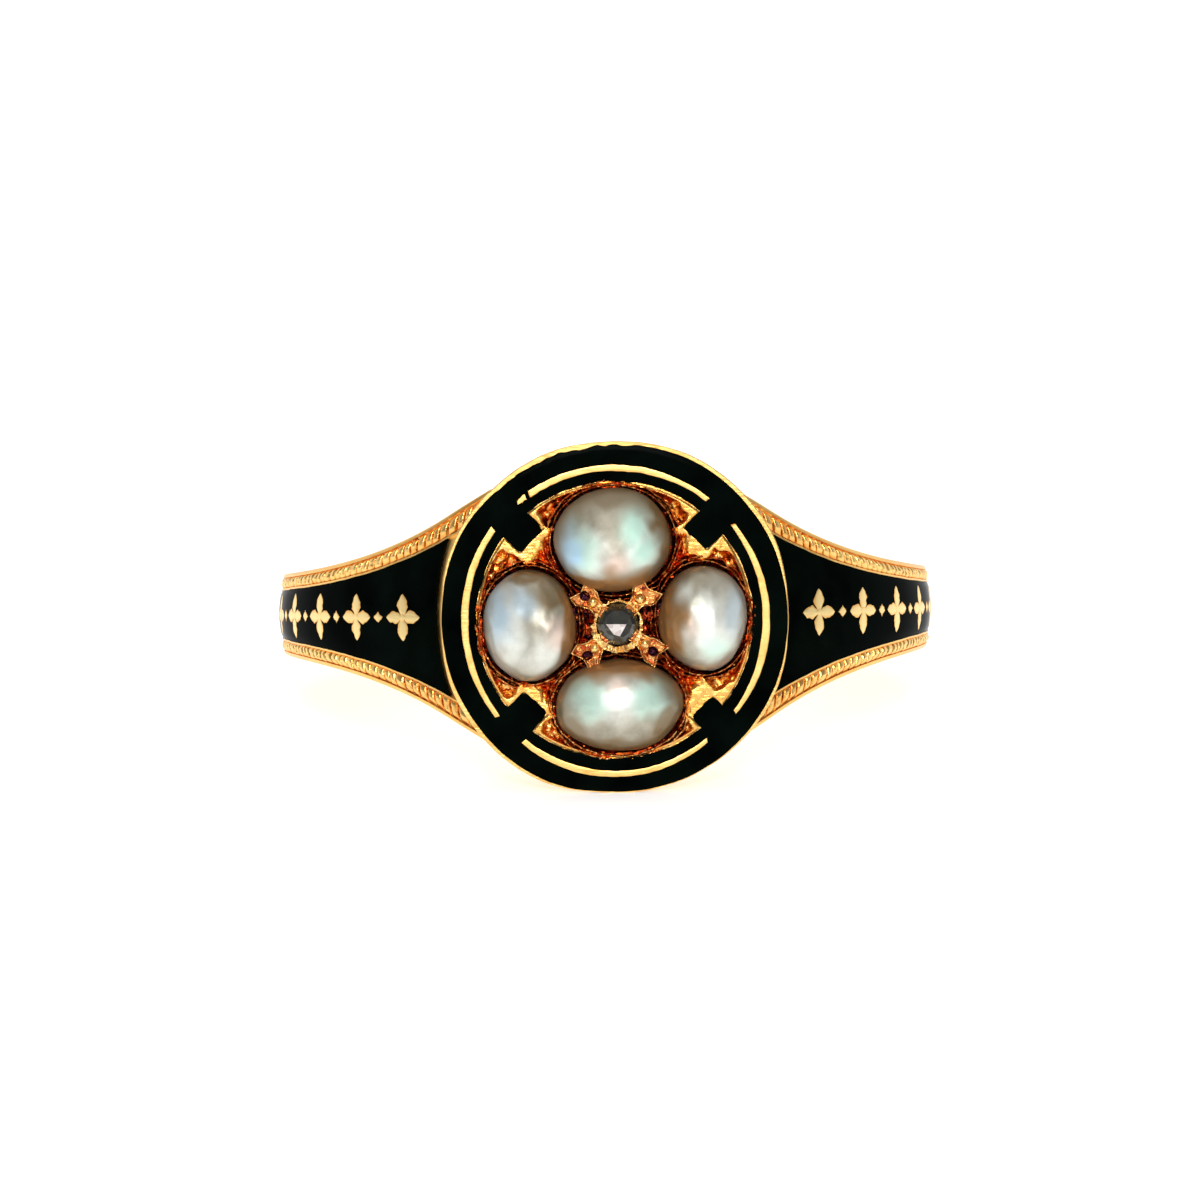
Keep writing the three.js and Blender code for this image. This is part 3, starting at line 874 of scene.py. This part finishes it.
# %% Leave the arcs standing
ARC_MIDDLE = 4.315
ARCS = [
    {"from": -38.7, "to": 38.2, "out": 0.0, "widths": (0.15, 0.27, 0.15)},
    {"from": 51, "to": 123.6, "out": 0.0, "widths": (0.17, 0.21, 0.22)},
    {"from": 124.8, "to": 129.4, "out": 0.0, "widths": (0.2, 0.17, 0.1)},
    {"from": 142, "to": 219.3, "out": -0.06, "widths": (0.22, 0.24, 0.17)},
    {"from": 232, "to": 307.3, "out": 0.07, "widths": (0.2, 0.21, 0.15)},
]


def make_arcs():
    bm = bmesh.new()
    cut = bm.verts.layers.float.new("cut")
    for number, arc in enumerate(ARCS):
        start, middle, end = arc["widths"]

        def place(u, v):
            hump = (middle - (start + end) / 2) * math.sin(math.pi * u)
            swell = start + (end - start) * u + hump
            shift = wander(u * 9 + 4 * v, number + 50, 0.022) + wander(u * 30, number + 60, 0.012)
            turn = math.radians(arc["from"] + (arc["to"] - arc["from"]) * u + (0.5 - v) * 0.8)
            radius = ARC_MIDDLE + arc["out"] * math.sin(math.pi * u) + (v - 0.5) * swell + shift
            rise = 0.008 if 0.1 < v < 0.9 and 0 < u < 1 else 0.0
            return on_field(radius * math.cos(turn), radius * math.sin(turn), rise)

        steps = max(8, round(abs(arc["to"] - arc["from"]) * 1.5))
        sheet = bent_grid(bm, steps, 6, place)
        # The arcs' edges get a darker tone: painted shade.
        for vert in sheet:
            vert[cut] = 0.5 if on_rim(vert) else 0.95
        deepened(bm, sheet, to_back, 0.08)
    finished("gold_arcs", bm, flat_gold, "gold", 50)


make_arcs()

# %% [markdown]
# ## The carved ground
#
# Inside the enamel the gold is a flat disc that the setter has carved. Each pearl stands in a well.
# Between the pearls and the black blocks pits are chopped out with a graver, and between the pearls
# the ground is cut low and rough. Only small flat lands are left beside the blocks. A fine polar
# grid is pressed into shape by one height function, and a tone for each point paints light and
# shade into its colour: painted shade in the cuts, under the pearls and at the collets' feet, a
# painted red glow where light comes back out of a deep cut after meeting gold more than once,
# painted glints on the chips, and lower pits painted lighter as if lit from above.

# %% Places of the stones
PEARLS = [
    {"name": "pearl_top", "x": -0.02, "z": 2.263, "half_x": 1.674, "half_z": 1.462},
    {"name": "pearl_right", "x": 2.515, "z": 0.023, "half_x": 1.25, "half_z": 1.509},
    {"name": "pearl_bottom", "x": 0.1, "z": -2.43, "half_x": 1.8, "half_z": 1.32},
    {"name": "pearl_left", "x": -2.42, "z": -0.118, "half_x": 1.313, "half_z": 1.58},
]
CENTRE = (0.09, -0.122)


def outside_pearl(x, z, pearl):
    """How far a point lies outside a pearl's outline, about in millimetres."""
    dx, dz = (x - pearl["x"]) / pearl["half_x"], (z - pearl["z"]) / pearl["half_z"]
    away = math.hypot(dx, dz)
    slope = math.hypot(dx / pearl["half_x"], dz / pearl["half_z"]) / max(away, 1e-6)
    return (away - 1) / slope


def beside_block(x, z, block):
    """How far a point lies beside a black block."""
    turn = math.radians(block["angle"])
    along = x * math.cos(turn) + z * math.sin(turn)
    across = abs(z * math.cos(turn) - x * math.sin(turn))
    return across - block["width"] / 2 if along > 0 else 9.0


def ground(x, z):
    """The carved ground's height, 0 on the flat and less where it is cut, and its tone, which
    paints light and shade.
    """
    radius = math.hypot(x, z)
    near = min(outside_pearl(x, z, pearl) for pearl in PEARLS)
    # Inside a pearl's well the tone is 0: painted black shade under the pearl.
    if near < 0.03:
        return -0.42, 0.0
    coarse, shade = chips(x, z, 0.19, 3)
    fine, glint = chips(x, z, 0.08, 9)
    beside = min(beside_block(x, z, block) for block in BLOCKS)
    under = ease((0.02 - beside) / 0.03) * ease((radius - 3.25) / 0.05)
    under = max(under, ease((radius - FIELD_RADIUS + 0.07) / 0.04))
    uneven = noise.noise(Vector((x * 2.3, z * 2.3, 5)))
    outer = ease((radius - 2.75 - 0.3 * uneven) / 0.3)
    pit = outer * ease((near - 0.06) / 0.06) * ease((0.66 + 0.3 * uneven - near) / 0.12)
    pit *= ease((FIELD_RADIUS - 0.1 - radius) / 0.06) * ease((beside - 0.14 - 0.2 * uneven) / 0.1)
    web = 1 - outer
    middle = ease((1.95 - radius) / 0.3)
    ridges = math.sin(near * 42 + 3 * uneven)
    depth = 0.3 * pit * (1.15 - 0.9 * near) + 0.1 * web + 0.22 * middle
    foot = 1 - ease((near - 0.13) / 0.1)
    rough = max(pit, web, foot)
    height = -depth + rough * (1.25 * coarse + 0.6 * fine) + 0.035 * web * ridges
    height += 0.012 * noise.noise(Vector((x * 5, z * 5, 1)))
    height = min(height, 0.0) * (1 - under) - 0.045 * under
    # The tone paints light and shade: each chip shaded by its tilt, painted glints and sparkles in
    # the pits, a painted red glow in most pits, the lower pits painted lighter as if lit from
    # above, and painted shade in the middle, on the webs and at the collets' feet.
    dim = 0.06 + 0.28 * shade + 0.2 * glint + 0.1 * web * ridges
    dim += 0.5 * pit * ease((glint - 0.72) / 0.12)
    dim += 0.02 + 0.3 * pit * (1 - ease((math.cos(math.atan2(z, x) - 2.2) - 0.5) / 0.4))
    low = ease((-z - 1.2) / 1.2)
    dim += 0.16 * low * pit
    tone = 0.8 + 0.12 * uneven + (dim - 0.8) * rough
    return height, max(0.0, tone - 0.3 * middle - 0.22 * foot * (1 - low) - 0.1 * web)


# %% Press the carved ground
def pressed_ring(bm, around, rows, inner, outer, middle, floor, press):
    """A flat ring whose top a function presses into shape. Three more rows close it below."""
    cut = bm.verts.layers.float.new("cut")

    def place(u, v):
        row = round(v * (rows + 3)) % (rows + 3)
        share = min(row, rows) / rows if row < rows + 2 else 0.0
        turn, radius = u * 2 * math.pi, inner + (outer - inner) * share
        x, z = radius * math.cos(turn), radius * math.sin(turn)
        height, tone = press(x, z) if row <= rows else (floor, 0.0)
        return on_field(middle[0] + x, middle[1] + z, height), tone

    bent_grid(bm, around, rows + 3, place, WELD, cut)


def make_ground():
    bm = bmesh.new()
    pressed_ring(bm, 640, 130, 0.4, FIELD_RADIUS + 0.05, (0, 0), -0.55, ground)
    finished("carved_ground", bm, carved_gold, "gold", 60)


make_ground()

# %% [markdown]
# ## The pearls' collets
#
# A thin wall of gold stands round each pearl, and a graver has raised and pressed it piece by
# piece. It is ragged, and a lower second ridge runs outside it in places. Each ridge is a grid
# wrapped round the oval as a flattened tube, and the chiselled facets roughen it.

# %% Raise the collets
def oval_point(pearl, turn, away, rise):
    """A point that stands away from a pearl's outline, square to it."""
    x, z = pearl["half_x"] * math.cos(turn), pearl["half_z"] * math.sin(turn)
    out = Vector((math.cos(turn) / pearl["half_x"], math.sin(turn) / pearl["half_z"])).normalized()
    return on_field(pearl["x"] + x + out.x * away, pearl["z"] + z + out.y * away, rise)


COLLET_RIDGES = [
    {"away": 0.115, "thick": 0.045, "top": 0.07, "change": 0.07},
    {"away": 0.22, "thick": 0.045, "top": 0.0, "change": 0.1},
]
HIGHEST_CREST = 0.17


def make_collets():
    bm = bmesh.new()
    cut = bm.verts.layers.float.new("cut")
    for seed, (pearl, ridge) in enumerate(itertools.product(PEARLS, COLLET_RIDGES)):
        level, change = seed % 2, ridge["change"]

        def place(u, v):
            turn, section = u * 2 * math.pi, v * 2 * math.pi
            out, up = math.cos(section), math.sin(section)
            foot = oval_point(pearl, turn, 0.1 * out, 0)
            rough, glint = chips(foot.x, foot.z + 0.1 * up, 0.13, seed + 0.3)
            crest = ridge["top"] + wander_round(turn, seed + 80, change, 5)
            crest = min(crest + wander_round(turn, seed + 90, change, 13), HIGHEST_CREST)
            stray = wander_round(turn, seed + 85, 0.05, 6) * (0.4 + level)
            away = ridge["away"] + stray + (ridge["thick"] + 0.9 * rough) * out
            rise = crest - 0.25 + (0.25 + 0.8 * rough) * up
            # Painted light: the ridge's upper outer faces are painted lit with painted glints, the
            # rest is painted shade, and the lower collets are painted lighter as if lit from above.
            lit = ease((up - 0.2) / 0.7) * ease((out + 0.8) / 0.9)
            low = ease((-foot.z - 1.2) / 1.2)
            tone = 0.02 + lit * (0.12 + 0.6 * glint) + 0.24 * low * (0.4 + 0.6 * lit)
            return oval_point(pearl, turn, max(0.03, away), rise), tone

        bent_grid(bm, 300, 14, place, WELD, cut)
    finished("pearl_collets", bm, collet_gold, "gold", 60)


make_collets()

# %% [markdown]
# ## The middle setting
#
# The small diamond sits in a ragged collar with four short arms that reach out between the pearls.
# Each arm has ridged sides, a forked end, a grain next to the collar and a drilled pit near its
# end.
# Their tone paints light and shade: painted shade round the arms, down their walls and in the pits,
# painted light on the ridged sides and the collar, and a painted highlight on each grain. All of it
# is low carving on one small disc, so it is pressed from a fine polar grid too.

# %% Carve the arms and the collar
ARMS = [
    {"angle": 49, "reach": 1.52, "wide": 0.92, "pit": 0.0},
    {"angle": 139, "reach": 1.58, "wide": 0.78, "pit": 1.24},
    {"angle": 225, "reach": 1.58, "wide": 0.88, "pit": 1.24},
    {"angle": 322, "reach": 1.62, "wide": 0.8, "pit": 1.26},
]


def carved_arm(x, y, number, arm):
    """Height and tone of an arm where it stands, or none beside it."""
    turn = math.radians(arm["angle"])
    along = x * math.cos(turn) + y * math.sin(turn)
    across = y * math.cos(turn) - x * math.sin(turn) + wander(along * 3, number + 100, 0.05)
    if along < 0.5:
        return None
    share = (along - 0.72) / (arm["reach"] - 0.72)
    half = 0.22 + (arm["wide"] / 2 - 0.22) * ease(share * 1.6)
    half += wander(along * 7, number + 104, 0.04)
    end = arm["reach"] - 0.15 * (1 - min(1.0, abs(across) / half))
    edge = min(half - abs(across), end - along)
    if edge < 0:
        return None
    rough, shade = chips(x, y, 0.13, 4)
    ridge = 1 - ease((edge - 0.05) / 0.05)
    height = 0.2 + 0.07 * ridge + 0.5 * rough
    # Painted light: the ridged sides are painted lighter, each chip is shaded by its tilt, the
    # grain gets a painted highlight, and the pit and the walls get painted shade.
    tone = 0.18 + 0.42 * ridge + 0.5 * shade
    grain = 0.16**2 - (along - 0.95) ** 2 - across**2
    if grain > 0:
        height = max(height, 0.16 + math.sqrt(grain))
        tone = 0.95
    if arm["pit"]:
        sunk = math.hypot(along - arm["pit"], across * 1.1)
        hole = 1 - ease((sunk - 0.1) / 0.05)
        height -= 0.35 * hole
        tone *= 1 - hole
    wall = ease(edge / 0.03)
    return -0.35 + (height + 0.35) * wall, tone * (0.3 + 0.7 * wall)


def setting(x, y):
    """Height and tone of the middle setting."""
    radius, turn = math.hypot(x, y), math.atan2(y, x)
    rough, shade = chips(x, y, 0.11, 7)
    # Painted light: the ground between the arms is painted shade, and the collar is painted lit on
    # top and shaded down its walls.
    height, tone = -0.3 + rough, 0.05 + 0.2 * shade
    for number, arm in enumerate(ARMS):
        found = carved_arm(x, y, number, arm)
        if found and found[0] > height:
            height, tone = found
    heavy = 0.11 * ease(-math.sin(turn + 0.25) * 1.5)
    outer = 0.74 + heavy + wander_round(turn, 110, 0.06, 7)
    inner = 0.59 + wander_round(turn, 111, 0.03, 5)
    edge = min(radius - inner, outer - radius)
    if edge > 0:
        crest = 0.3 + wander_round(turn, 112, 0.09, 6) + 0.5 * rough
        wall = ease(edge / 0.035)
        top = -0.3 + (crest + 0.3) * wall
        if top > height:
            height, tone = top, wall * (0.75 + 0.3 * shade)
    return height - 0.2 * ease((radius - 1.62) / 0.06), tone


def make_setting():
    bm = bmesh.new()
    pressed_ring(bm, 460, 90, 0.5, 1.7, CENTRE, -0.56, setting)
    finished("centre_setting", bm, setting_gold, "gold", 60)


make_setting()

# %% [markdown]
# ## The half pearls
#
# A natural pearl is never quite round. Each one is a sphere squeezed to its oval, flat below where
# it was sawn, with a few broad lumps. Its highest point leans towards the middle of the face.
#
# The nacre's sheen is painted as soft pools of colour: a painted white highlight and painted teal,
# blue and rose sheen. Towards the rim and in a few patches it is painted olive, a painted shade,
# and tan, a painted reflection of the gold with painted shade, where the pearl leans over the gold.
# These pools sit in fixed places on each pearl, so every point of the mesh stores how much of each
# it has, and the material mixes them. One pearl has lost some of its gloss and gets a duller
# finish.

# %% Nacre
# The pools' colours: a painted white highlight, painted teal, blue and rose sheen, a painted olive
# shade and a painted tan reflection of the gold with painted shade.
POOLS = {
    "painted_highlight": (0.92, 0.94, 0.86),
    "painted_teal_sheen": (0.62, 0.93, 0.78),
    "painted_blue_sheen": (0.52, 0.78, 0.98),
    "painted_rose_sheen": (0.98, 0.76, 0.64),
    "painted_olive_shade": (0.2, 0.125, 0.048),
    "painted_gold_reflection": (0.34, 0.175, 0.06),
}


def nacre_finish(name, satin_from, satin_to, coat):
    material, nodes = new_finish(name)
    place = located(nodes)
    clouds = clouded(nodes, place, 1500, 7, 0.6)
    color = ramped(nodes, clouds, [(0.32, (0.3, 0.27, 0.2)), (0.68, (0.5, 0.465, 0.36))])
    # The pools mix painted highlight, painted sheen, painted shade and a painted reflection of the
    # gold into the nacre's own colour.
    for pool, shade in POOLS.items():
        amount = wired(nodes, "ShaderNodeAttribute", [], attribute_name=pool).outputs["Fac"]
        mottle = ranged(nodes, clouds, 0.75, 1.25, 0.3, 0.7)
        share = reckoned(nodes, "MULTIPLY", amount, mottle, use_clamp=True)
        links = [(0, share), (6, color)]
        mixed = wired(nodes, "ShaderNodeMix", links, {7: (*shade, 1)}, data_type="RGBA")
        color = mixed.outputs[2]
    links = {
        "Base Color": color,
        "Roughness": ranged(nodes, clouds, satin_from, satin_to),
        "Normal": bumped(nodes, clouded(nodes, place, 5200, 4), 0.25, 0.00002),
    }
    shaded(nodes, links, {"Metallic": 0.45, "Coat Weight": coat, "Coat Roughness": 0.2})
    return material


nacre = nacre_finish("Nacre", 0.28, 0.48, 0.35)
dull_nacre = nacre_finish("Dull nacre", 0.42, 0.56, 0.1)

# %% [markdown]
# A row for each pearl gives its height, lean, finish and pools. Its rim entry says how much painted
# olive shade the rim gets, and how much more to the right and above. A pool is a place on the
# pearl, seen from the front with the outline at 1, then a size across and up, and an amount. The
# painted olive shade and the painted tan reflection have a firm edge, and the other pools fade all
# the way out from their middle.

# %% Grow the pearls
DOMES = [
    {
        "height": 1.2,
        "lean": (0.05, -0.46),
        "rim": (0.8, 0.15, 0.0),
        "finish": dull_nacre,
        "pools": [
            ("painted_highlight", -0.42, -0.1, 0.4, 0.6, 0.9),
            ("painted_teal_sheen", -0.56, 0.0, 0.34, 0.55, 0.8),
            ("painted_blue_sheen", -0.74, -0.05, 0.24, 0.5, 0.95),
            ("painted_teal_sheen", 0.34, 0.42, 0.3, 0.4, 0.9),
            ("painted_teal_sheen", 0.52, 0.05, 0.3, 0.4, 0.8),
            ("painted_highlight", 0.44, 0.1, 0.34, 0.6, 0.9),
            ("painted_rose_sheen", 0.04, -0.2, 0.24, 0.3, 0.7),
            ("painted_olive_shade", 0.6, -0.66, 0.5, 0.4, 0.55),
            ("painted_gold_reflection", 0.05, -1.0, 1.15, 0.8, 1.0),
            ("painted_olive_shade", 1.0, 0.55, 0.5, 0.62, 0.9),
            ("painted_olive_shade", 1.05, -0.2, 0.36, 0.6, 0.8),
            ("painted_olive_shade", -0.1, 1.1, 0.9, 0.4, 0.7),
        ],
    },
    {
        "height": 1.12,
        "lean": (-0.12, -0.26),
        "rim": (0.5, -0.35, 0.2),
        "finish": nacre,
        "pools": [
            ("painted_highlight", 0.34, -0.05, 0.7, 0.8, 1.0),
            ("painted_teal_sheen", 0.3, -0.45, 0.4, 0.3, 0.6),
            ("painted_blue_sheen", 0.72, 0.15, 0.22, 0.55, 0.4),
            ("painted_rose_sheen", -0.2, 0.0, 0.25, 0.3, 0.5),
            ("painted_highlight", -0.45, 0.58, 0.28, 0.25, 0.7),
            ("painted_gold_reflection", -1.1, -0.14, 0.92, 1.05, 1.0),
        ],
    },
    {
        "height": 1.12,
        "lean": (0.0, 0.05),
        "rim": (0.85, 0.05, -0.1),
        "finish": nacre,
        "pools": [
            ("painted_highlight", 0.0, 0.1, 0.75, 0.5, 0.9),
            ("painted_teal_sheen", -0.48, 0.12, 0.34, 0.5, 0.75),
            ("painted_teal_sheen", 0.48, 0.12, 0.34, 0.5, 0.75),
            ("painted_rose_sheen", -0.03, 0.4, 0.2, 0.35, 0.7),
            ("painted_olive_shade", 0.9, -0.55, 0.5, 0.6, 0.8),
            ("painted_olive_shade", -0.85, -0.6, 0.4, 0.5, 0.6),
            ("painted_olive_shade", 0.0, -1.15, 1.4, 0.5, 0.85),
            ("painted_gold_reflection", 0.0, 1.12, 1.0, 0.68, 1.0),
        ],
    },
    {
        "height": 1.08,
        "lean": (0.32, -0.34),
        "rim": (0.5, 0.4, 0.2),
        "finish": nacre,
        "pools": [
            ("painted_highlight", -0.56, 0.1, 0.36, 1.0, 1.0),
            ("painted_highlight", 0.2, -0.4, 0.7, 0.45, 0.75),
            ("painted_blue_sheen", -0.74, 0.3, 0.24, 0.6, 0.7),
            ("painted_blue_sheen", -0.3, 0.5, 0.3, 0.3, 0.5),
            ("painted_rose_sheen", 0.42, 0.0, 0.32, 0.34, 0.8),
            ("painted_olive_shade", 0.45, 0.75, 0.5, 0.4, 0.8),
            ("painted_olive_shade", 0.0, 1.12, 0.9, 0.36, 0.9),
            ("painted_gold_reflection", 1.14, 0.0, 0.74, 1.15, 1.0),
        ],
    },
]


FIRM_POOLS = ("painted_olive_shade", "painted_gold_reflection")
FIRM_EDGE = (0.62, 0.42)
SOFT_EDGE = (0.15, 1.2)


def make_pearl(pearl, dome, seed):
    bm = bmesh.new()
    layers = {pool: bm.verts.layers.float.new(pool) for pool in POOLS}
    bmesh.ops.create_uvsphere(bm, u_segments=128, v_segments=88, radius=1)
    for vert in bm.verts:
        x, z, up = vert.co
        lump = 1 + 0.05 * noise.noise(Vector((x * 1.3 + seed * 5, z * 1.3, up * 1.3)))
        lump += 0.014 * noise.noise(Vector((x * 4.5 + seed * 3, z * 4.5, up * 4.5)))
        # Each pool paints a highlight, a sheen, shade or a reflection of the gold onto its place.
        for pool, cx, cz, wide, tall, amount in dome["pools"]:
            waver = 0.3 * noise.noise(Vector((x * 3 + seed, z * 3, up * 3 + cx)))
            away = math.hypot((x - cx) / wide, (z - cz) / tall) + waver
            layer = layers[pool]
            full, fades = FIRM_EDGE if pool in FIRM_POOLS else SOFT_EDGE
            vert[layer] = max(vert[layer], amount * (1 - ease((away - full) / fades)))
        high = max(0.0, up)
        # Painted shade: the rim is painted olive, more so on some sides.
        even, right, above = dome["rim"]
        rim_shade = min(1.0, max(0.0, even + right * x + above * z))
        vert[layers["painted_olive_shade"]] = max(vert[layers["painted_olive_shade"]], rim_shade * ease((0.8 - high) / 0.5))
        rise = dome["height"] * up * lump if up > 0 else 0.3 * up
        px = pearl["x"] + x * pearl["half_x"] * lump + dome["lean"][0] * high**2
        pz = pearl["z"] + z * pearl["half_z"] * lump + dome["lean"][1] * high**2
        vert.co = on_field(px, pz, rise - 0.02)
    finished(pearl["name"], bm, dome["finish"], "pearl", 80)


for seed, (pearl, dome) in enumerate(zip(PEARLS, DOMES)):
    make_pearl(pearl, dome, seed)

# %% [markdown]
# ## The diamond
#
# The middle stone is cut the old way, with a small table, eight facets round it and a point below.
# It sits in a closed cup, so little light comes back, and its light is painted: a painted shade
# that looks smoky on most of it and a painted flash on one part. Its profile is spun in ten steps.
# Planes then cut its top into the patches that the facets below show through it, and each face
# stores a painted brightness.

# %% The diamond's finish
def diamond_with_painted_light():
    material, nodes = new_finish("Diamond in a closed cup")
    # The stone's light is painted: each face's stored brightness, with a cellular speckle, runs
    # through a ramp from painted shade to a painted flash.
    painted_brightness = wired(nodes, "ShaderNodeAttribute", [], attribute_name="painted_brightness").outputs["Fac"]
    cells = wired(nodes, "ShaderNodeTexVoronoi", [("Vector", located(nodes))], {"Scale": 5200})
    grain = ranged(nodes, cells.outputs["Color"], -0.18, 0.18)
    stops = [
        (0.05, (0.004, 0.004, 0.002)),
        (0.3, (0.03, 0.028, 0.018)),
        (0.55, (0.13, 0.12, 0.09)),
        (0.8, (0.7, 0.6, 0.56)),
        (1.0, (1.0, 0.92, 0.88)),
    ]
    color = ramped(nodes, reckoned(nodes, "ADD", painted_brightness, grain), stops)
    shaded(nodes, {"Base Color": color}, {"Roughness": 0.07, "IOR": 1.8})
    return material


# %% Cut the diamond
STONE_PROFILE = [(0, 0.29), (0.4, 0.29), (0.61, 0.17), (0.06, -0.23), (0, -0.23)]
STONE_SIDES = 10

# The planes that part the table into patches: a point of each and its normal.
TABLE_CUTS = [
    ((0, 0, 0), (0.02, 1, 0)),
    ((0.24, 0, 0), (0.9, -0.5, 0)),
    ((-0.34, 0, 0), (-0.85, -0.62, 0)),
    ((0.1, 0.15, 0), (1, 0.4, 0)),
    ((0, -0.33, 0), (0.3, 1, 0)),
]


def make_diamond():
    bm = bmesh.new()
    spun(bm, [(radius, 0, rise) for radius, rise in STONE_PROFILE], (0, 0, 1), STONE_SIDES)
    crown = [face for face in bm.faces if face.calc_center_median().z > 0.28]
    bmesh.ops.dissolve_faces(bm, faces=crown)
    for middle, normal in TABLE_CUTS:
        top = [face for face in bm.faces if face.calc_center_median().z > 0.2]
        around = {item for face in top for item in [*face.edges, *face.verts]}
        bmesh.ops.bisect_plane(
            bm, geom=[*top, *around], dist=0.0001, plane_co=middle, plane_no=normal
        )
    painted_brightness = bm.faces.layers.float.new("painted_brightness")
    bm.normal_update()
    # Painted light: most faces get a dim painted shade, one patch of the table a painted flash, and
    # the lower left a middling painted brightness.
    for face in bm.faces:
        x, y, _ = face.calc_center_median()
        chance = noise.noise(Vector((x * 7.7, y * 7.7, 2.5)))
        flat = face.normal.z > 0.95
        inside = -0.3 < y < 0 and x < 0.24 + (y * 0.5556) and x > -0.34 - y * 0.73
        face[painted_brightness] = 0.16 + 0.5 * chance if not flat else 0.12 + 0.45 * chance
        if flat and inside:
            face[painted_brightness] = 0.9
        elif y < 0 and x < 0.1:
            face[painted_brightness] = 0.4
    for vert in bm.verts:
        x, y, rise = vert.co
        vert.co = on_field(CENTRE[0] + x, CENTRE[1] + y, rise)
    finished("diamond", bm, diamond_with_painted_light(), "diamond", 1)


make_diamond()

# %% [markdown]
# ## The table, the light and the camera
#
# The photograph is a close view on white. The room is white all round and dimmer behind the
# camera, which keeps the polished faces from going flat. One broad soft light from above the camera
# draws the pearls' highlights and lights the flat gold.

# %% White table and room
bpy.ops.mesh.primitive_plane_add(size=3)
table = bpy.context.object
table.name = "table"
white, white_nodes = new_finish("Lit white table")
white_looks = {
    "Base Color": (0.9, 0.9, 0.9, 1),
    "Roughness": 0.45,
    "Emission Color": (1, 1, 1, 1),
    "Emission Strength": 0.5,
}
shaded(white_nodes, {}, white_looks)
table.data.materials.append(white)

ROOM_STOPS = [(0.28, 1.0), (0.62, 0.28), (0.93, 0.2), (1.0, 0.45)]
TOWARD_CAMERA = (0.0, -0.98, 0.2)
world = bpy.data.worlds.new("Soft room")
bpy.context.scene.world = world
world.use_nodes = True
nodes = world.node_tree.nodes
direction = nodes.new("ShaderNodeTexCoord").outputs["Generated"]
toward = wired(
    nodes, "ShaderNodeVectorMath", [(0, direction)], {1: TOWARD_CAMERA}, operation="DOT_PRODUCT"
)
share = ranged(nodes, toward.outputs["Value"], 0.0, 1.0, -1.0, 1.0)
room = ramped(nodes, share, [(at, (grey, grey, grey)) for at, grey in ROOM_STOPS])
world.node_tree.links.new(room, nodes["Background"].inputs["Color"])


def soft_light(name, azimuth, elevation, distance, size, power):
    """A square light that looks at the ring. Azimuth 0 is the camera's side."""
    a, e = math.radians(azimuth), math.radians(elevation)
    away = Vector((math.sin(a) * math.cos(e), -math.cos(a) * math.cos(e), math.sin(e)))
    lamp = bpy.data.lights.new(name, "AREA")
    lamp.size = size
    lamp.energy = power
    holder = bpy.data.objects.new(name, lamp)
    holder.location = away * distance
    holder.rotation_euler = away.to_track_quat("Z", "Y").to_euler()
    bpy.context.collection.objects.link(holder)


soft_light("light above the camera", 0, 30, 0.4, 0.1, 0.62)
soft_light("light overhead", 0, 80, 0.4, 0.3, 0.25)

# %% [markdown]
# The camera looks from 200 millimetres in front of the hoop's middle, a degree above the hoop's own
# plane and a touch from the left, with a long lens. It is aimed a hair beside the middle, so that
# the ring stands in the picture where it does in the photograph.

# %% Camera
DISTANCE = 200.0
AZIMUTH = math.radians(-1.25)
ELEVATION = TILT + math.radians(1.1)
ROLL = math.radians(-0.5)
away = Vector(
    (
        math.sin(AZIMUTH) * math.cos(ELEVATION),
        -math.cos(AZIMUTH) * math.cos(ELEVATION),
        math.sin(ELEVATION),
    )
)
right, up, _ = away.to_track_quat("Z", "Y").to_matrix().col
camera_data = bpy.data.cameras.new("camera")
camera_data.lens = 200
camera_data.sensor_width = 36
camera_data.clip_start = 0.01
camera = bpy.data.objects.new("camera", camera_data)
bpy.context.collection.objects.link(camera)
stand = HOOP_CENTRE + away * DISTANCE
aim = HOOP_CENTRE - right * 0.15 + up * 0.288
looking = (stand - aim).normalized().to_track_quat("Z", "Y").to_matrix()
camera.matrix_world = (
    Matrix.Translation(stand * 0.001) @ looking.to_4x4() @ Matrix.Rotation(ROLL, 4, "Z")
)
bpy.context.scene.camera = camera
bpy.context.scene.view_settings.view_transform = "Standard"
